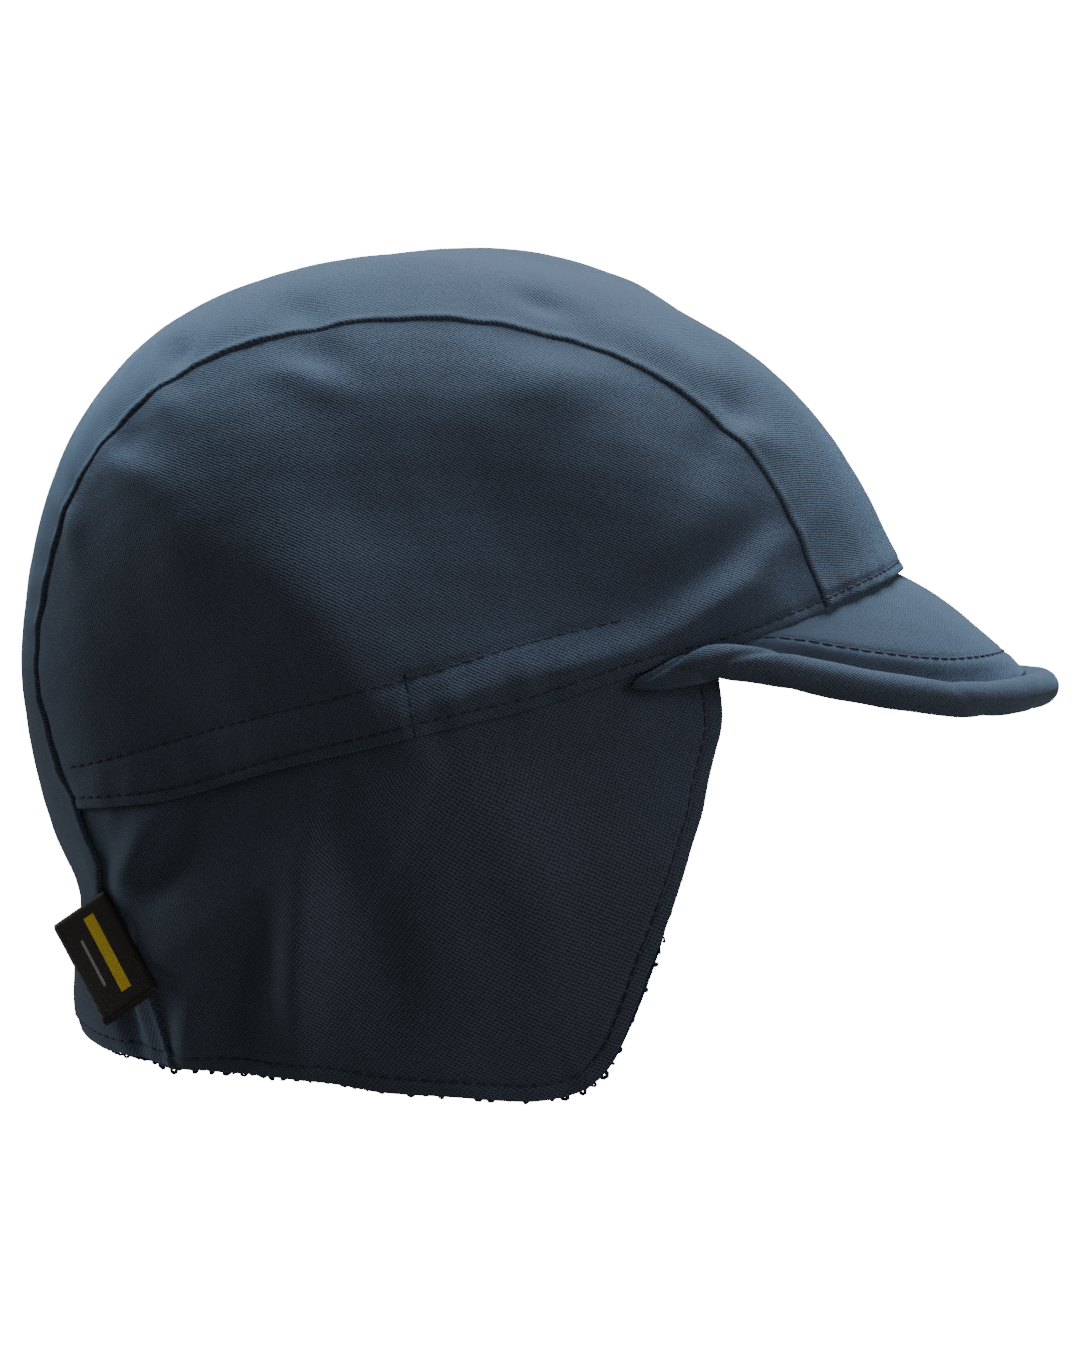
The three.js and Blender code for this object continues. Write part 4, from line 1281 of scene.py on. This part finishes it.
def tape_material():
    material = new_material("satin_tape", Roughness=0.55, Sheen_Weight=0.05, Specular_IOR_Level=0.35)
    tree = material.node_tree
    place = add_node(tree, "ShaderNodeUVMap", uv_map="cloth").outputs["UV"]
    parts = add_node(tree, "ShaderNodeSeparateXYZ", {"Vector": place}).outputs

    def band(axis, low, high):
        """1 between two places in millimetres and 0 outside them."""
        above = calculate(tree, "GREATER_THAN", parts[axis], low)
        return calculate(tree, "MULTIPLY", above, calculate(tree, "LESS_THAN", parts[axis], high))

    colour = linear("#0f1013")
    for across, along, woven in (TAPE_BAR, TAPE_LINE):
        inside = calculate(tree, "MULTIPLY", band("X", *across), band("Y", *along))
        colour = mix_colours(tree, inside, colour, linear(woven))
    ribs = add_node(tree, "ShaderNodeVectorMath", {0: place, 1: TAPE_RIBS}, operation="DOT_PRODUCT")
    rib = calculate(tree, "SINE", ribs.outputs["Value"])
    return paint(material, colour, rib, distance=0.00005, strength=0.6)


tape = tape_material()

# %% The label's folded tape
LABEL_LENGTH = 30.5
LABEL_WIDTH = 15.8
LABEL_ANGLES = np.array([204.5, 221])
LABEL_PAST_SEAM = np.array([2.4, 4.6])
LABEL_STAND_OFF = 2.4
LABEL_WAY = np.array([-0.86, 0.16, -0.48])
TAPE = 0.6


def label_frame():
    top, foot = ring_points(LABEL_ANGLES, RIGHT * (strip_half_width(LABEL_ANGLES) + LABEL_PAST_SEAM))
    down = unit(foot - top)
    out = unit(LABEL_WAY - down * (LABEL_WAY @ down))
    root = top + form_normals(top) * LABEL_STAND_OFF
    return root, out, np.cross(down, out), down


def fold_profile(half, count=26):
    """The tape's line seen from its end: out along one leg, round the fold and back."""
    leg = np.linspace(0, LABEL_WIDTH - half - 0.2, count)
    bend = np.radians(np.linspace(-90, 90, 15))
    x = np.concatenate([leg, leg[-1] + half * np.cos(bend[1:-1]), leg[::-1]])
    y = np.concatenate([np.full(count, -half), half * np.sin(bend[1:-1]), np.full(count, half)])
    return np.stack([x, y], -1)


def make_label():
    root, out, face, down = label_frame()
    line = fold_profile(0.75)
    tangent = unit(np.gradient(line, axis=0))
    away = np.stack([tangent[:, 1], -tangent[:, 0]], -1)
    length = np.linspace(0, LABEL_LENGTH, 40)
    reach = np.insert(np.cumsum(np.linalg.norm(np.diff(line, axis=0), axis=1)), 0, 0)
    soft = 0.35 * np.sin(length / 9)[None, :] * (line[:, 0] / LABEL_WIDTH)[:, None] ** 2

    def place(flat):
        bent = flat[:, None, 1] + soft
        return root + flat[:, None, :1] * out + bent[..., None] * face + length[None, :, None] * down

    surface = place(line + away * TAPE / 2)
    normals = np.broadcast_to((away[:, :1] * out + away[:, 1:] * face)[:, None], surface.shape)
    uv = np.stack(np.meshgrid(reach, length, indexing="ij"), -1)
    return make_wall("folded_label", surface, normals, TAPE, uv, tape)


dress(make_label(), "woven_label")

# %% [markdown]
# ## Studio
# The cap is held up, so the floor lies well below it. One large soft light hangs overhead, and
# three dimmer ones fill in from the front, from low on the right and from behind. The pale floor
# and background are even. The camera has a long lens and looks at the cap's right side, three
# degrees from above.

# %% Floor, lights and world
FLOOR_REACH = 30
FLOOR_HEIGHT = -0.45


def make_floor():
    mesh = bpy.data.meshes.new("floor")
    corners = [(-1, -1), (1, -1), (1, 1), (-1, 1)]
    places = [(FLOOR_REACH * x, FLOOR_REACH * y, FLOOR_HEIGHT) for x, y in corners]
    mesh.from_pydata(places, [], [(0, 1, 2, 3)])
    floor = bpy.data.objects.new("floor", mesh)
    bpy.context.collection.objects.link(floor)
    mesh.materials.append(new_material(
        "pale_paper", Roughness=0.9, Base_Color=linear("#f4f4f4"), Emission_Color=linear("#ffffff"),
        Emission_Strength=17))
    # the camera alone sees it glow, so that it throws no light on the cloth from below
    floor.visible_diffuse = False
    floor.visible_glossy = False


def add_area_light(name, place, size, power, colour):
    """A square soft light that looks at the cap."""
    light = bpy.data.lights.new(name, "AREA")
    light.size, light.energy, light.color = size, power, colour
    lamp = bpy.data.objects.new(name, light)
    bpy.context.collection.objects.link(lamp)
    lamp.location = place
    lamp.rotation_euler = (-Vector(place)).to_track_quat("-Z", "Y").to_euler()


def light_world(seen, strength):
    """A background that the camera sees as near white and the cloth as a dim glow."""
    world = bpy.data.worlds.new("studio")
    world.use_nodes = True
    tree = world.node_tree
    tree.nodes.clear()
    by_camera = add_node(tree, "ShaderNodeLightPath").outputs["Is Camera Ray"]
    glow, white = [
        add_node(tree, "ShaderNodeBackground", {"Color": linear(colour), "Strength": power}).outputs[0]
        for colour, power in (("#fbe6cf", strength), ("#ffffff", seen))]
    both = add_node(tree, "ShaderNodeMixShader", {0: by_camera, 1: glow, 2: white})
    add_node(tree, "ShaderNodeOutputWorld", {"Surface": both.outputs[0]})
    bpy.context.scene.world = world


make_floor()
light_world(seen=18.0, strength=0.16)
add_area_light("overhead", (0.1, 0.45, 1.28), 0.9, 58, (0.82, 0.94, 1))
add_area_light("front_fill", (1.2, -0.8, 0.5), 0.8, 9, (1, 0.92, 0.84))
add_area_light("low_fill", (0.1, -1.4, -0.3), 0.8, 4, (1, 0.88, 0.76))
add_area_light("back_fill", (-1.3, 0.55, 0.2), 0.6, 9, (0.95, 0.97, 1))

# %% Camera
CAMERA_DISTANCE = 1.6
CAMERA_AIM = Vector((0.02125, 0, 0.0125))
FRAME_HEIGHT = 0.3375
SENSOR_WIDTH = 36
elevation = np.radians(3)
camera = bpy.data.objects.new("camera", bpy.data.cameras.new("camera"))
bpy.context.collection.objects.link(camera)
camera.data.sensor_width = SENSOR_WIDTH
camera.data.lens = SENSOR_WIDTH * CAMERA_DISTANCE / FRAME_HEIGHT
camera.location = CAMERA_AIM + CAMERA_DISTANCE * Vector((0, -np.cos(elevation), np.sin(elevation)))
camera.rotation_euler = (CAMERA_AIM - camera.location).to_track_quat("-Z", "Y").to_euler()
bpy.context.scene.camera = camera
